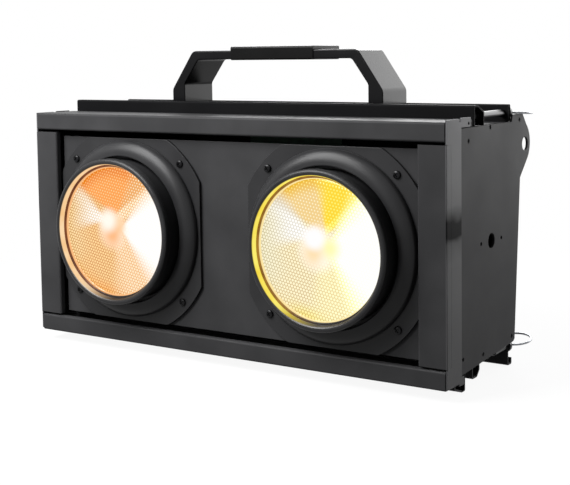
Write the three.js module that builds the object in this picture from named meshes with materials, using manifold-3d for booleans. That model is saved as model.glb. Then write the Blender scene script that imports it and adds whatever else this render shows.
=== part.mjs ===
// Two-lamp audience blinder light, as an assembly of separate pieces.
//
// Lengths are millimetres. Inside the fixture group, x runs across from the middle plane,
// y runs back from the front face of the bezel, and z runs up from the bezel's lower edge.
// The group then stands on its bottom rails, with the middle of its depth on the origin.

import * as THREE from 'three';
import { mergeVertices } from 'three/addons/utils/BufferGeometryUtils.js';
import Module from 'manifold-3d';

const wasm = await Module();
wasm.setup();

// Shared values
const sheet = 1.5;
const seat = 0.15;
const overrun = 1;
const turnSides = 48;
const bowlSides = 24;
const holeSides = 16;
const boltSides = 12;
const wireSides = 6;
const wireSteps = 24;
const cornerSteps = 3;
const domeSteps = 5;
const lipSteps = 2;
const fullTurn = 2 * Math.PI;
const quarterTurn = fullTurn / 4;
const degree = fullTurn / 360;

// Lamps, each size worked out from the lens outwards
const lensRadius = 58;
const lensThickness = 4;
const lensPlay = 0.3;
const barrelWall = 3.2;
const barrelRear = 44;
const rimOverhang = 2.1;
const rimProjection = 20;
const rimLength = 6.5;
const rimRounding = 2.4;
const ledgeWidth = 1.9;
const ledgeDepth = 5.7;
const ledgeThickness = 1.3;
const domeLipGap = 1;
const domeLipWidth = 1.4;
const domeShoulder = 12;
const domeHeight = 9;
const flangePlate = 2.5;
const flangeMargin = 13.8;
const flangeSideMargin = 2.3;
const flangeToMiddle = 25.3;
const rimBore = lensRadius + lensPlay;
const ledgeRadius = rimBore - ledgeWidth;
const barrelRadius = rimBore + barrelWall;
const rimRadius = barrelRadius + rimOverhang;
const domeLipRadius = rimRadius + domeLipGap;
const domeCrownRadius = domeLipRadius + domeLipWidth;
const domeRadius = domeCrownRadius + domeShoulder;
const flangeRadius = domeRadius + flangeMargin;
const flangeHalfWidth = domeRadius + flangeSideMargin;
const lampX = flangeHalfWidth + flangeToMiddle;
const lensFront = ledgeDepth + ledgeThickness + seat - rimProjection;
const lensBack = lensFront + lensThickness;

// Reflector and light module behind each lens
const reflectorSheet = 1.2;
const reflectorRimLength = 4;
const reflectorThroat = 15;
const reflectorRings = 5;
const ledBoardRadius = 24;
const ledBoardThickness = 3;
const emitterInset = 2;
const emitterThickness = 1;
const emitterRadius = reflectorThroat - emitterInset;
const ledBoardFront = barrelRear - ledBoardThickness;

// Cooling behind each lamp
const sinkInset = 0.5;
const sinkBase = 6;
const finCount = 9;
const finThickness = 2.4;
const finInset = 11;
const finLength = 42;
const fanHalfWidth = 35;
const fanDepth = 15;
const fanDuctWall = 3;
const fanHubRadius = 12;
const fanStrut = 2;
const fanStrutWidth = 4;
const fanStrutCount = 3;
const fanShaftRadius = 1.5;
const fanShaftLength = 7;
const runningGap = 0.3;
const bladeCount = 7;
const bladeThickness = 1.2;
const bladeDepth = 8;
const bladeTipGap = 1;
const bladePitch = 35 * degree;
const sinkRadius = barrelRadius - sinkInset;
const finPitch = (2 * (sinkRadius - finInset)) / (finCount - 1);
const fanBore = fanHalfWidth - fanDuctWall;
const bladeTip = fanBore - bladeTipGap;
const sinkFront = barrelRear + seat;
const finFront = sinkFront + sinkBase;
const fanFront = finFront + finLength + seat;
const fanRear = fanFront + fanDepth;

// Flange screws
const screwMargin = 6.5;
const screwHeadRadius = 3.2;
const screwHeadHeight = 2;
const screwShankRadius = 1.5;
const screwLength = 8;
const screwClearance = 0.2;
const screwOffset = (domeRadius + screwMargin) * Math.SQRT1_2;

// Bezel: two bars and two posts round the front opening
const lampHeadroom = 22.5;
const barFace = 15;
const postFace = 24;
const postGap = 2;
const barEndGap = 1.6;
const returnDepth = 5.2;
const bottomFlangeDepth = 20;
const barEarDepth = 18;
const stripDepth = 24.6;
const stripLow = 1.4;
const stripRise = 1.5;
const notchWidth = 3.6;
const notchDrop = 2.5;
const tabDrop = 5.2;
const tabRise = 2;
const tabLength = 16.4;
const tabHoleInset = 3.8;
const tabHoleRise = 2.6;
const tabHoleRadius = 1.3;
const toeDepth = 4;
const toeDrop = 0.6;
const toeHigh = 6;
const lampZ = domeRadius + lampHeadroom;
const frameHeight = 2 * lampZ;
const barTopLow = frameHeight - barFace;
const stripHigh = frameHeight + stripRise;
const tabLow = frameHeight - tabDrop;
const tabHigh = frameHeight + tabRise;
const tabRear = stripDepth + tabLength;
const plateFront = returnDepth + seat;

// Front panel, recessed behind the bezel and just inside the posts
const panelSideOverlap = 0.6;
const panelPostGap = 3;
const panelBelowDome = 3.5;
const panelAboveDome = 1.8;
const panelReturn = 20;
const barrelPanelGap = 1;
const panelHalfWidth = lampX + domeRadius - panelSideOverlap;
const panelLow = lampZ - domeRadius - panelBelowDome;
const panelHigh = lampZ + domeRadius + panelAboveDome;
const flangeFront = returnDepth + seat + seat;
const flangeBack = flangeFront + flangePlate;
const panelFront = flangeBack + seat;
const panelBack = panelFront + sheet;
const postInner = panelHalfWidth + panelPostGap;
const frameHalf = postInner + postFace;

// Housing sheets between the side plates
const plateSheet = 2;
const plateDrop = 6;
const rearRoom = 19.4;
const bottomPlateLow = 12.6;
const stripInner = frameHalf - sheet;
const plateOuter = stripInner - seat;
const plateInner = plateOuter - plateSheet;
const sheetHalf = plateInner - seat;
const plateTop = frameHeight - plateDrop;
const topPlateLow = plateTop - sheet;
const railSeat = plateTop + seat;
const bottomPlateHigh = bottomPlateLow + sheet;
const railCeiling = bottomPlateLow - seat;
const housingFront = barEarDepth + sheet;
const housingRear = fanRear + rearRoom;
const rearPanelFront = housingRear - sheet;
const ventCount = 6;
const ventHeight = 3;
const ventPitch = 11;
const ventHalfWidth = 30;

// Side plates, with a hanging ear at the top rear corner that leans back past the housing
const plateLowFront = 4.3;
const plateLowRear = 11.6;
const heelRise = 1.8;
const rearEdgeInset = 0.7;
const heelReach = 1.9;
const shoulderReach = 12.7;
const shoulderDrop = 47.4;
const earArcReach = 14.1;
const earArcDrop = 18.8;
const earArcRadius = 19.5;
const earArcFrom = -43.3 * degree;
const earArcTo = 52.8 * degree;
const earFrontInset = 2.4;
const earRearReach = 17.8;
const earRise = 2;
const earHoleReach = 8.7;
const earHoleDrop = 0.8;
const earHoleRadius = 5.8;
const pivotInset = 44.7;
const pivotRise = 1.9;
const pivotHoleRadius = 6.05;
const indexHoleOffset = 19.1;
const indexHoleRadius = 1.5;
const edgeSlotInset = 2.1;
const edgeSlotWidth = 2.4;
const edgeSlotDepth = 3.6;
const plateHeelZ = plateLowRear + heelRise;
const plateRearLow = housingRear - rearEdgeInset;
const plateHeelY = housingRear + heelReach;
const plateShoulderY = housingRear + shoulderReach;
const plateShoulderZ = plateTop - shoulderDrop;
const earTop = frameHeight;
const earFront = housingRear - earFrontInset;
const earRear = housingRear + earRearReach;
const earArcY = housingRear + earArcReach;
const earArcZ = plateTop - earArcDrop;
const earHoleY = earArcY + earHoleReach;
const earHoleZ = earArcZ - earHoleDrop;
const pivotHoleY = housingRear - pivotInset;
const pivotHoleZ = lampZ + pivotRise;
const edgeSlotY = pivotHoleY - edgeSlotInset;

// Carrying handle and its rubber grip, in front of the rear channel
const channelInset = 2.3;
const channelDepth = 5;
const channelRise = 14.5;
const handleGap = 0.4;
const handleDepth = 41.5;
const handleHalfWidth = 112.3;
const handleRise = 61.2;
const slopeRun = 24.3;
const slopeDrop = 34.7;
const legThickness = 14.3;
const crestThickness = 7.9;
const innerBendRise = 5;
const innerCornerInset = 6;
const handleBendRadius = 6;
const gripHalfLength = 44;
const gripWall = 1.35;
const gripCrown = 3.3;
const gripUnder = 0.6;
const channelRear = housingRear - channelInset;
const channelFront = channelRear - channelDepth;
const channelHigh = plateTop + channelRise;
const handleFront = channelFront - handleGap - handleDepth;
const handleTop = plateTop + handleRise;
const legHigh = handleTop - slopeDrop;
const crestHalfWidth = handleHalfWidth - slopeRun;

// Rails along the top and the underside
const hatHandleGap = 8.2;
const hatDepth = 18.3;
const hatCrest = 7.4;
const hatRise = 16.3;
const hatShoulderRise = 11.1;
const hatFlangeGap = 4;
const hatEndInset = 0.35;
const channelEndInset = 0.35;
const footDrop = 9;
const frontRailFront = 21;
const frontRailFlat = 17.7;
const frontRailDepth = 18.5;
const frontRailEndInset = 0.85;
const frontRailNoseRun = 12.5;
const frontRailNoseRise = 4.2;
const middleRailInset = 12;
const middleRailFlat = 9;
const middleRailDepth = 14;
const middleRailEndInset = 9.35;
const rearRailDepth = 8.1;
const rearRailLip = 5.5;
const rearRailEndInset = 1.85;
const hatRear = handleFront - hatHandleGap;
const hatFront = hatRear - hatDepth;
const hatCrestRear = hatFront + hatCrest;
const hatHigh = plateTop + hatRise;
const hatShoulder = plateTop + hatShoulderRise;
const topFlangeDepth = hatFront - hatFlangeGap;
const middleRailFront = pivotHoleY - middleRailInset;

// Small screw holes of the side plates, beside the sheets and rails that they hold
const plateHoleRadius = 1.7;
const shoulderHoleInset = 6.7;
const shoulderHoleDrop = 10.5;
const earCornerInset = 1.8;
const earCornerDrop = 5;
const frontFootReach = 9.2;
const frontFootRise = 5.2;
const middleFootInset = 3.5;
const middleFootRise = 1.2;
const rearFootInset = 2.1;
const rearFootRise = 4.2;
const plateHoles = [
  [topFlangeDepth - shoulderHoleInset, plateTop - shoulderHoleDrop],
  [plateShoulderY - earCornerInset, earTop - earCornerDrop],
  [frontRailFront + frontFootReach, bottomPlateLow + frontFootRise],
  [middleRailFront - middleFootInset, bottomPlateLow + middleFootRise],
  [channelRear - rearFootInset, bottomPlateLow + rearFootRise],
];

// Locking pins and their pull rings
const pinEndInset = 5.35;
const pinRadius = 3;
const pinClearance = 0.2;
const upperPinRise = 7.3;
const upperPinEntry = 7.3;
const lowerPinZ = 6.9;
const lowerPinEntry = 24.4;
const pinHeadOverhang = 2.4;
const pinHeadLength = 4;
const pinTailStep = 0.2;
const pinTailLength = 5.6;
const ringEyeInset = 2.6;
const ringEyeRadius = 1.5;
const ringRadius = 14;
const ringWireRadius = 0.9;
const upperRingDroop = 3.5 * degree;
const lowerRingDroop = -7 * degree;
const pinX = plateInner - pinEndInset;
const pinHeadRadius = pinRadius + pinHeadOverhang;
const pinTailRadius = pinRadius - pinTailStep;
const upperPinZ = plateTop + upperPinRise;
const upperPinFront = hatRear - upperPinEntry;
const lowerPinFront = channelRear - lowerPinEntry;
const pinHeadFront = channelRear + seat;
const pinTailFront = pinHeadFront + pinHeadLength;
const pinEnd = pinTailFront + pinTailLength;
const ringPivotY = pinEnd - ringEyeInset;

// Rear panel fittings
const menuHalfWidth = 50;
const menuDrop = 17;
const menuHeight = 42;
const menuPlate = 2;
const windowInset = 18;
const windowDrop = 5;
const windowHeight = 16;
const windowDepth = 0.6;
const buttonSpacing = 18;
const buttonShares = [-1.5, -0.5, 0.5, 1.5];
const buttonRise = 10;
const buttonRadius = 3.6;
const buttonClearance = 0.3;
const buttonProud = 1.5;
const buttonCollarRadius = 5;
const buttonCollar = 1.5;
const buttonStemRadius = 2;
const buttonTravel = 1;
const boardRoom = 12.2;
const boardThickness = 1.6;
const switchRadius = 3;
const switchHeight = 2.6;
const standoffRadius = 3;
const standoffInset = 5;
const socketX = 30;
const dataSocketDrop = 36;
const powerSocketDrop = 42;
const socketHalfWidth = 13;
const socketHalfHeight = 15.5;
const socketFlange = 2;
const socketFlangeMargin = 2;
const socketBarrelDepth = 18;
const socketFloor = 3;
const dataSocketWall = 2.2;
const powerSocketWall = 1.4;
const menuFront = housingRear + seat;
const menuRear = menuFront + menuPlate;
const menuHigh = plateTop - menuDrop;
const menuLow = menuHigh - menuHeight;
const windowHalfWidth = menuHalfWidth - windowInset;
const windowHigh = menuHigh - windowDrop;
const windowLow = windowHigh - windowHeight;
const buttonZ = menuLow + buttonRise;
const boardFront = rearPanelFront - boardRoom;
const dataSocketZ = menuLow - dataSocketDrop;
const powerSocketZ = dataSocketZ - powerSocketDrop;
const socketBarrelRadius = socketHalfWidth - socketFlangeMargin;
const dataMouthRadius = socketBarrelRadius - dataSocketWall;
const powerMouthRadius = socketBarrelRadius - powerSocketWall;
const socketMouthDepth = socketBarrelDepth - socketFloor;

// Power supply inside the middle of the housing
const supplySideGap = 8.6;
const supplyRearRoom = 25.2;
const supplyLength = 76;
const supplyHeight = 66;
const supplyHalfWidth = lampX - sinkRadius - supplySideGap;
const supplyRear = rearPanelFront - supplyRearRoom;

// How far the rearmost pieces reach
const ringReach = 2 * ringRadius * Math.cos(upperRingDroop) + ringWireRadius;
const rearReach = Math.max(ringPivotY + ringReach, earArcY + earArcRadius);

// Finishes
function finish(color, roughness, metalness) {
  return new THREE.MeshStandardMaterial({ color, roughness, metalness });
}

const blackPaint = finish(0x1d1d1f, 0.62, 0.35);
const castPaint = finish(0x161617, 0.55, 0.4);
const blackZinc = finish(0x0e0e0f, 0.4, 0.8);
const softRubber = finish(0x0b0b0b, 0.85, 0);
const beadGlass = finish(0xfff0d0, 0.15, 0);
const brightMetal = finish(0xe0dccf, 0.15, 1);
const rawAluminium = finish(0xb0b2b4, 0.45, 0.9);
const phosphor = finish(0xf2b632, 0.6, 0);
const springSteel = finish(0xc4c6c8, 0.25, 1);
const darkPlastic = finish(0x121214, 0.5, 0);
const boardLaminate = finish(0x14532d, 0.6, 0);

// Turn a three.js geometry into a solid that can be joined and cut
function solid(geometry) {
  const bare = geometry.clone();
  bare.deleteAttribute('normal');
  bare.deleteAttribute('uv');
  const merged = mergeVertices(bare);
  const vertProperties = new Float32Array(merged.attributes.position.array);
  const triVerts = new Uint32Array(merged.index.array);
  return new wasm.Manifold(new wasm.Mesh({ numProp: 3, vertProperties, triVerts }));
}

// Turn a solid back into a geometry
function surface(body) {
  const { vertProperties, triVerts } = body.getMesh();
  const geometry = new THREE.BufferGeometry();
  geometry.setAttribute('position', new THREE.BufferAttribute(vertProperties, 3));
  geometry.setIndex(new THREE.BufferAttribute(triVerts, 1));
  geometry.computeVertexNormals();
  return geometry;
}

// A box between two corners
function block(x0, x1, y0, y1, z0, z1) {
  const geometry = new THREE.BoxGeometry(x1 - x0, y1 - y0, z1 - z0);
  geometry.translate((x0 + x1) / 2, (y0 + y1) / 2, (z0 + z1) / 2);
  return solid(geometry);
}

// Extrude an outline of [y, z] points along x
function alongX(outline, x0, x1) {
  const shape = outline instanceof THREE.Shape ? outline : pointsShape(outline);
  const geometry = new THREE.ExtrudeGeometry(shape, { depth: x1 - x0, bevelEnabled: false });
  const x = new THREE.Vector3(1, 0, 0);
  const y = new THREE.Vector3(0, 1, 0);
  const z = new THREE.Vector3(0, 0, 1);
  geometry.applyMatrix4(new THREE.Matrix4().makeBasis(y, z, x));
  geometry.translate(x0, 0, 0);
  return solid(geometry);
}

// Extrude an outline of [x, z] points along y
function alongY(shape, y0, y1) {
  const geometry = new THREE.ExtrudeGeometry(shape, { depth: y1 - y0, bevelEnabled: false });
  geometry.rotateX(quarterTurn);
  geometry.translate(0, y1, 0);
  return solid(geometry);
}

function pointsShape(points) {
  return new THREE.Shape(points.map(([a, b]) => new THREE.Vector2(a, b)));
}

// A round bar along y
function rodY(x, z, radius, y0, y1, sides = boltSides) {
  const geometry = new THREE.CylinderGeometry(radius, radius, y1 - y0, sides);
  geometry.translate(x, (y0 + y1) / 2, z);
  return solid(geometry);
}

// A round bar along x
function rodX(y, z, radius, x0, x1, sides = boltSides) {
  const geometry = new THREE.CylinderGeometry(radius, radius, x1 - x0, sides);
  geometry.rotateZ(quarterTurn);
  geometry.translate((x0 + x1) / 2, y, z);
  return solid(geometry);
}

// A ring turned about the y axis, from a closed run of [radius, y] points
function turned(profile, sides) {
  const points = profile.map(([radius, y]) => new THREE.Vector2(radius, y));
  if (THREE.ShapeUtils.area(points) < 0) {
    points.reverse();
  }
  points.push(points[0].clone());
  return solid(new THREE.LatheGeometry(points, sides));
}

// The outline of a folded sheet whose outer side follows a line of [y, z] points
function folded(line, thickness) {
  const inner = line.map((point, i) => {
    const before = i > 0 ? unit(line[i - 1], point) : null;
    const after = i < line.length - 1 ? unit(point, line[i + 1]) : null;
    const first = before ?? after;
    const last = after ?? before;
    const spread = 1 + first[0] * last[0] + first[1] * last[1];
    const shift = [-(first[1] + last[1]) / spread, (first[0] + last[0]) / spread];
    return [point[0] + shift[0] * thickness, point[1] + shift[1] * thickness];
  });
  return [...line, ...inner.reverse()];
}

function unit(from, to) {
  const length = Math.hypot(to[0] - from[0], to[1] - from[1]);
  return [(to[0] - from[0]) / length, (to[1] - from[1]) / length];
}

// A quarter of an ellipse, from the side (angle 0) round to the top (a quarter turn)
function quarterArc(centreR, centreY, reachR, reachY, steps) {
  const angles = Array.from({ length: steps + 1 }, (_, i) => (quarterTurn * i) / steps);
  return angles.map((a) => [centreR + reachR * Math.cos(a), centreY + reachY * Math.sin(a)]);
}

const fixture = new THREE.Group();
fixture.position.set(0, (rimProjection - rearReach) / 2, footDrop);

function add(name, body, material) {
  const mesh = new THREE.Mesh(surface(body), material);
  mesh.name = name;
  fixture.add(mesh);
}

function sideName(side) {
  return side < 0 ? 'left' : 'right';
}

// Bars: a folded face with its returns, and an ear at each end that bolts to the side plate
function topBar() {
  const half = stripInner - barEndGap;
  const line = [
    [returnDepth, barTopLow],
    [0, barTopLow],
    [0, frameHeight],
    [topFlangeDepth, frameHeight],
    [topFlangeDepth, railSeat],
  ];
  const profile = folded(line.slice().reverse(), sheet);
  let body = alongX(profile, -half, half);
  for (const side of [-1, 1]) {
    body = body.add(barEar(side, barTopLow, frameHeight));
  }
  return body;
}

function bottomBar() {
  const half = stripInner - barEndGap;
  const line = [
    [bottomFlangeDepth, 0],
    [0, 0],
    [0, barFace],
    [returnDepth, barFace],
  ];
  let body = alongX(folded(line.slice().reverse(), sheet), -half, half);
  for (const side of [-1, 1]) {
    body = body.add(barEar(side, 0, barFace));
  }
  return body;
}

function barEar(side, low, high) {
  const edges = [side * sheetHalf, side * (sheetHalf - sheet)].sort((a, b) => a - b);
  return block(edges[0], edges[1], 0, barEarDepth, low, high);
}

// Posts: a face, a shallow return at its inner edge, and a side strip with its top tab and toe
function post(side) {
  const faceLow = barFace + postGap;
  const faceHigh = barTopLow - postGap;
  const face = spanX(side, postInner, frameHalf, 0, sheet, faceLow, faceHigh);
  const inner = spanX(side, postInner, postInner + sheet, 0, returnDepth, faceLow, faceHigh);
  const outline = [
    [0, stripLow],
    [stripDepth - toeDepth, stripLow],
    [stripDepth - toeDepth, -toeDrop],
    [stripDepth + toeDepth, -toeDrop],
    [stripDepth + toeDepth, toeHigh],
    [stripDepth, toeHigh],
    [stripDepth, tabLow],
    [tabRear, tabLow],
    [tabRear, tabHigh],
    [stripDepth, tabHigh],
    [stripDepth, stripHigh - notchDrop],
    [stripDepth - notchWidth, stripHigh - notchDrop],
    [stripDepth - notchWidth, stripHigh],
    [0, stripHigh],
  ];
  const strip = alongX(outline, ...across(side, stripInner, frameHalf));
  const holeSpan = across(side, stripInner - overrun, frameHalf + overrun);
  const hole = rodX(tabRear - tabHoleInset, tabLow + tabHoleRise, tabHoleRadius, ...holeSpan);
  return face.add(inner).add(strip).subtract(hole);
}

// Sort a pair of distances from the middle plane into rising x on one side
function across(side, near, far) {
  return side < 0 ? [-far, -near] : [near, far];
}

function spanX(side, near, far, y0, y1, z0, z1) {
  const [x0, x1] = across(side, near, far);
  return block(x0, x1, y0, y1, z0, z1);
}

// Side plates: a flat sheet with a rounded hanging ear at the top rear corner
function sidePlate(side) {
  const shape = new THREE.Shape();
  shape.moveTo(plateFront, plateLowFront);
  shape.lineTo(plateRearLow, plateLowRear);
  shape.lineTo(plateHeelY, plateHeelZ);
  shape.lineTo(plateShoulderY, plateShoulderZ);
  shape.absarc(earArcY, earArcZ, earArcRadius, earArcFrom, earArcTo, false);
  shape.lineTo(earRear, earTop);
  shape.lineTo(earFront, earTop);
  shape.lineTo(earFront - earRise, plateTop);
  shape.lineTo(plateFront, plateTop);
  const [x0, x1] = across(side, plateInner, plateOuter);
  const cutFrom = x0 - overrun;
  const cutTo = x1 + overrun;
  let body = alongX(shape, x0, x1);
  body = body.subtract(rodX(earHoleY, earHoleZ, earHoleRadius, cutFrom, cutTo, holeSides));
  body = body.subtract(rodX(pivotHoleY, pivotHoleZ, pivotHoleRadius, cutFrom, cutTo, holeSides));
  for (const way of [-1, 1]) {
    const y = pivotHoleY + way * indexHoleOffset;
    body = body.subtract(rodX(y, pivotHoleZ, indexHoleRadius, cutFrom, cutTo));
  }
  for (const [y, z] of plateHoles) {
    body = body.subtract(rodX(y, z, plateHoleRadius, cutFrom, cutTo));
  }
  const slotFront = edgeSlotY - edgeSlotWidth / 2;
  const slotRear = edgeSlotY + edgeSlotWidth / 2;
  const slotLow = plateTop - edgeSlotDepth;
  return body.subtract(block(cutFrom, cutTo, slotFront, slotRear, slotLow, plateTop + overrun));
}

// Front panel: a sheet with two round openings and screw holes, folded back to the side plates
function frontPanel() {
  let body = block(-panelHalfWidth, panelHalfWidth, panelFront, panelBack, panelLow, panelHigh);
  const returnRear = panelFront + panelReturn;
  const cutFrom = panelFront - overrun;
  const cutTo = panelBack + overrun;
  const inner = panelHalfWidth - sheet;
  for (const side of [-1, 1]) {
    body = body.add(spanX(side, inner, panelHalfWidth, panelFront, returnRear, panelLow, panelHigh));
    body = body.add(spanX(side, inner, sheetHalf, returnRear - sheet, returnRear, panelLow, panelHigh));
    const bore = barrelRadius + barrelPanelGap;
    body = body.subtract(rodY(side * lampX, lampZ, bore, cutFrom, cutTo, turnSides));
    for (const [x, z] of screwPlaces(side)) {
      body = body.subtract(rodY(x, z, screwShankRadius + screwClearance, cutFrom, cutTo));
    }
  }
  return body;
}

function screwPlaces(side) {
  return [
    [side * lampX - screwOffset, lampZ + screwOffset],
    [side * lampX + screwOffset, lampZ + screwOffset],
    [side * lampX - screwOffset, lampZ - screwOffset],
    [side * lampX + screwOffset, lampZ - screwOffset],
  ];
}

// Rear panel: vents behind the fans, and openings for the sockets and buttons
function rearPanel() {
  const low = bottomPlateHigh + seat;
  const high = topPlateLow - seat;
  let body = block(-sheetHalf, sheetHalf, rearPanelFront, housingRear, low, high);
  const y0 = rearPanelFront - overrun;
  const y1 = housingRear + overrun;
  for (const side of [-1, 1]) {
    const x0 = side * lampX - ventHalfWidth;
    const x1 = side * lampX + ventHalfWidth;
    for (let i = 0; i < ventCount; i += 1) {
      const z = lampZ + (i - (ventCount - 1) / 2) * ventPitch;
      body = body.subtract(block(x0, x1, y0, y1, z, z + ventHeight));
    }
  }
  for (const z of [dataSocketZ, powerSocketZ]) {
    for (const side of [-1, 1]) {
      const hole = socketBarrelRadius + buttonClearance;
      body = body.subtract(rodY(side * socketX, z, hole, y0, y1, holeSides));
    }
  }
  for (const share of buttonShares) {
    body = body.subtract(rodY(share * buttonSpacing, buttonZ, buttonRadius + buttonClearance, y0, y1));
  }
  return body;
}

// Top hat rail along the front of the top plate, bored for the upper pins
function topFrontRail() {
  const line = [
    [hatRear, railSeat],
    [hatRear, hatShoulder],
    [hatCrestRear, hatHigh],
    [hatFront, hatHigh],
    [hatFront, railSeat],
  ];
  const half = plateOuter - hatEndInset;
  const body = alongX(folded(line, sheet), -half, half);
  return boreForPins(body, upperPinZ, upperPinFront, hatRear + overrun);
}

// Inverted channel along the rear of the top plate, bored for the upper pins
function topRearRail() {
  const line = [
    [channelRear, railSeat],
    [channelRear, channelHigh],
    [channelFront, channelHigh],
    [channelFront, railSeat],
  ];
  const half = plateInner - channelEndInset;
  const body = alongX(folded(line, sheet), -half, half);
  return boreForPins(body, upperPinZ, channelFront - overrun, channelRear + overrun);
}

function boreForPins(body, z, y0, y1) {
  let bored = body;
  for (const side of [-1, 1]) {
    bored = bored.subtract(rodY(side * pinX, z, pinRadius + pinClearance, y0, y1));
  }
  return bored;
}

// Front corner of the foremost underside rail, bevelled so that the bezel hides it
const railNose = [
  [frontRailFront, frontRailNoseRise - footDrop],
  [frontRailFront + frontRailNoseRun, -footDrop],
];

// Underside rails: a flat foot with a bevelled rear corner, open towards the housing
function bevelledRail(front, flat, depth, half, nose = [[front, -footDrop]]) {
  const flatRear = front + flat;
  const rear = front + depth;
  const line = [
    [front, railCeiling],
    ...nose,
    [flatRear, -footDrop],
    [rear, rear - flatRear - footDrop],
    [rear, railCeiling],
  ];
  return alongX(folded(line, sheet), -half, half);
}

// Rear underside rail: a web with a hooked foot, bored for the lower pins
function bottomRearRail() {
  const web = channelRear - sheet;
  const line = [
    [web, railCeiling],
    [web, -footDrop],
    [web + rearRailDepth, -footDrop],
    [web + rearRailDepth, rearRailLip - footDrop],
  ];
  const half = plateInner - rearRailEndInset;
  const body = alongX(folded(line, sheet), -half, half);
  return boreForPins(body, lowerPinZ, web - overrun, channelRear + overrun);
}

// Handle: one bent strap with rounded outer bends
function handle() {
  const innerLeg = handleHalfWidth - legThickness;
  const innerTop = handleTop - crestThickness;
  const outer = [
    [-handleHalfWidth, legHigh],
    [-crestHalfWidth, handleTop],
    [crestHalfWidth, handleTop],
    [handleHalfWidth, legHigh],
  ];
  const inner = [
    [innerLeg, legHigh + innerBendRise],
    [crestHalfWidth - innerCornerInset, innerTop],
    [innerCornerInset - crestHalfWidth, innerTop],
    [-innerLeg, legHigh + innerBendRise],
  ];
  const start = [-handleHalfWidth, railSeat];
  const end = [handleHalfWidth, railSeat];
  const shape = new THREE.Shape();
  shape.moveTo(...start);
  const stops = [start, ...outer, end];
  outer.forEach((corner, i) => {
    const back = unit(corner, stops[i]);
    const ahead = unit(corner, stops[i + 2]);
    shape.lineTo(corner[0] + back[0] * handleBendRadius, corner[1] + back[1] * handleBendRadius);
    const exitX = corner[0] + ahead[0] * handleBendRadius;
    const exitZ = corner[1] + ahead[1] * handleBendRadius;
    shape.quadraticCurveTo(corner[0], corner[1], exitX, exitZ);
  });
  shape.lineTo(...end);
  shape.lineTo(innerLeg, railSeat);
  inner.forEach((corner) => shape.lineTo(...corner));
  shape.lineTo(-innerLeg, railSeat);
  const points = shape.getPoints(cornerSteps);
  return alongY(pointsShape(points), handleFront, handleFront + handleDepth);
}

// Rubber sleeve round the middle of the handle, thick over the crest and thin beneath it
function handleGrip() {
  const innerFront = handleFront - seat;
  const innerRear = handleFront + handleDepth + seat;
  const innerLow = handleTop - crestThickness - seat;
  const innerHigh = handleTop + seat;
  const sleeve = block(
    -gripHalfLength,
    gripHalfLength,
    innerFront - gripWall,
    innerRear + gripWall,
    innerLow - gripUnder,
    innerHigh + gripCrown,
  );
  const reach = gripHalfLength + overrun;
  return sleeve.subtract(block(-reach, reach, innerFront, innerRear, innerLow, innerHigh));
}

// Lamp flange: a thin plate cut to the front panel, with a domed ring round the barrel
function lampFlange(side) {
  const x = side * lampX;
  const disc = rodY(x, lampZ, flangeRadius, flangeFront, flangeBack, turnSides);
  const [x0, x1] = across(side, lampX - flangeHalfWidth, panelHalfWidth);
  const trim = block(x0, x1, flangeFront - overrun, panelBack, panelLow, panelHigh);
  const dome = turned(domeProfile(), turnSides).translate([x, 0, lampZ]);
  const bore = rodY(x, lampZ, barrelRadius + seat, flangeFront - overrun, flangeBack + overrun, turnSides);
  let body = disc.intersect(trim).add(dome).subtract(bore);
  for (const [screwX, screwZ] of screwPlaces(side)) {
    const hole = screwShankRadius + screwClearance;
    body = body.subtract(rodY(screwX, screwZ, hole, flangeFront - overrun, flangeBack + overrun));
  }
  return body;
}

function domeProfile() {
  const back = flangeFront + flangePlate / 2;
  const arc = quarterArc(domeCrownRadius, flangeFront, domeShoulder, -domeHeight, domeSteps);
  return [[domeLipRadius, back], [domeRadius, back], ...arc, [domeLipRadius, flangeFront - domeHeight]];
}

// Lamp barrel: a tube with a rounded front rim and an inner ledge that holds the lens
function lampBarrel() {
  const rimBack = rimLength - rimProjection;
  const ledgeFront = ledgeDepth - rimProjection;
  const round = quarterArc(
    rimRadius - rimRounding,
    rimRounding - rimProjection,
    rimRounding,
    -rimRounding,
    cornerSteps,
  );
  const inside = quarterArc(
    rimBore + rimRounding,
    rimRounding - rimProjection,
    -rimRounding,
    -rimRounding,
    lipSteps,
  );
  return turned([
    [barrelRadius, barrelRear],
    [barrelRadius, rimBack],
    [rimRadius, rimBack],
    ...round,
    ...inside.reverse(),
    [rimBore, ledgeFront],
    [ledgeRadius, ledgeFront],
    [ledgeRadius, ledgeFront + ledgeThickness],
    [rimBore, ledgeFront + ledgeThickness],
    [rimBore, barrelRear],
  ], turnSides);
}

// Reflector: a thin bowl whose radius grows with the square root of the distance from the throat
function reflector() {
  const mouth = rimBore - seat;
  const bowlFront = lensBack + seat;
  const bowlRear = ledBoardFront - seat;
  const rimRear = bowlFront + reflectorRimLength;
  const inner = Array.from({ length: reflectorRings + 1 }, (_, i) => {
    const share = i / reflectorRings;
    const radius = reflectorThroat + (mouth - reflectorSheet - reflectorThroat) * Math.sqrt(share);
    return [radius, bowlRear + (rimRear - bowlRear) * share];
  });
  const outer = inner.map(([radius, y]) => [radius + reflectorSheet, y]);
  return turned([
    ...outer,
    [mouth, bowlFront],
    [mouth - reflectorSheet, bowlFront],
    ...inner.reverse(),
  ], bowlSides);
}

function ledModule() {
  const board = rodY(0, 0, ledBoardRadius, ledBoardFront, barrelRear, bowlSides);
  return board.add(rodY(0, 0, emitterRadius, ledBoardFront - emitterThickness, ledBoardFront, bowlSides));
}

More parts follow.
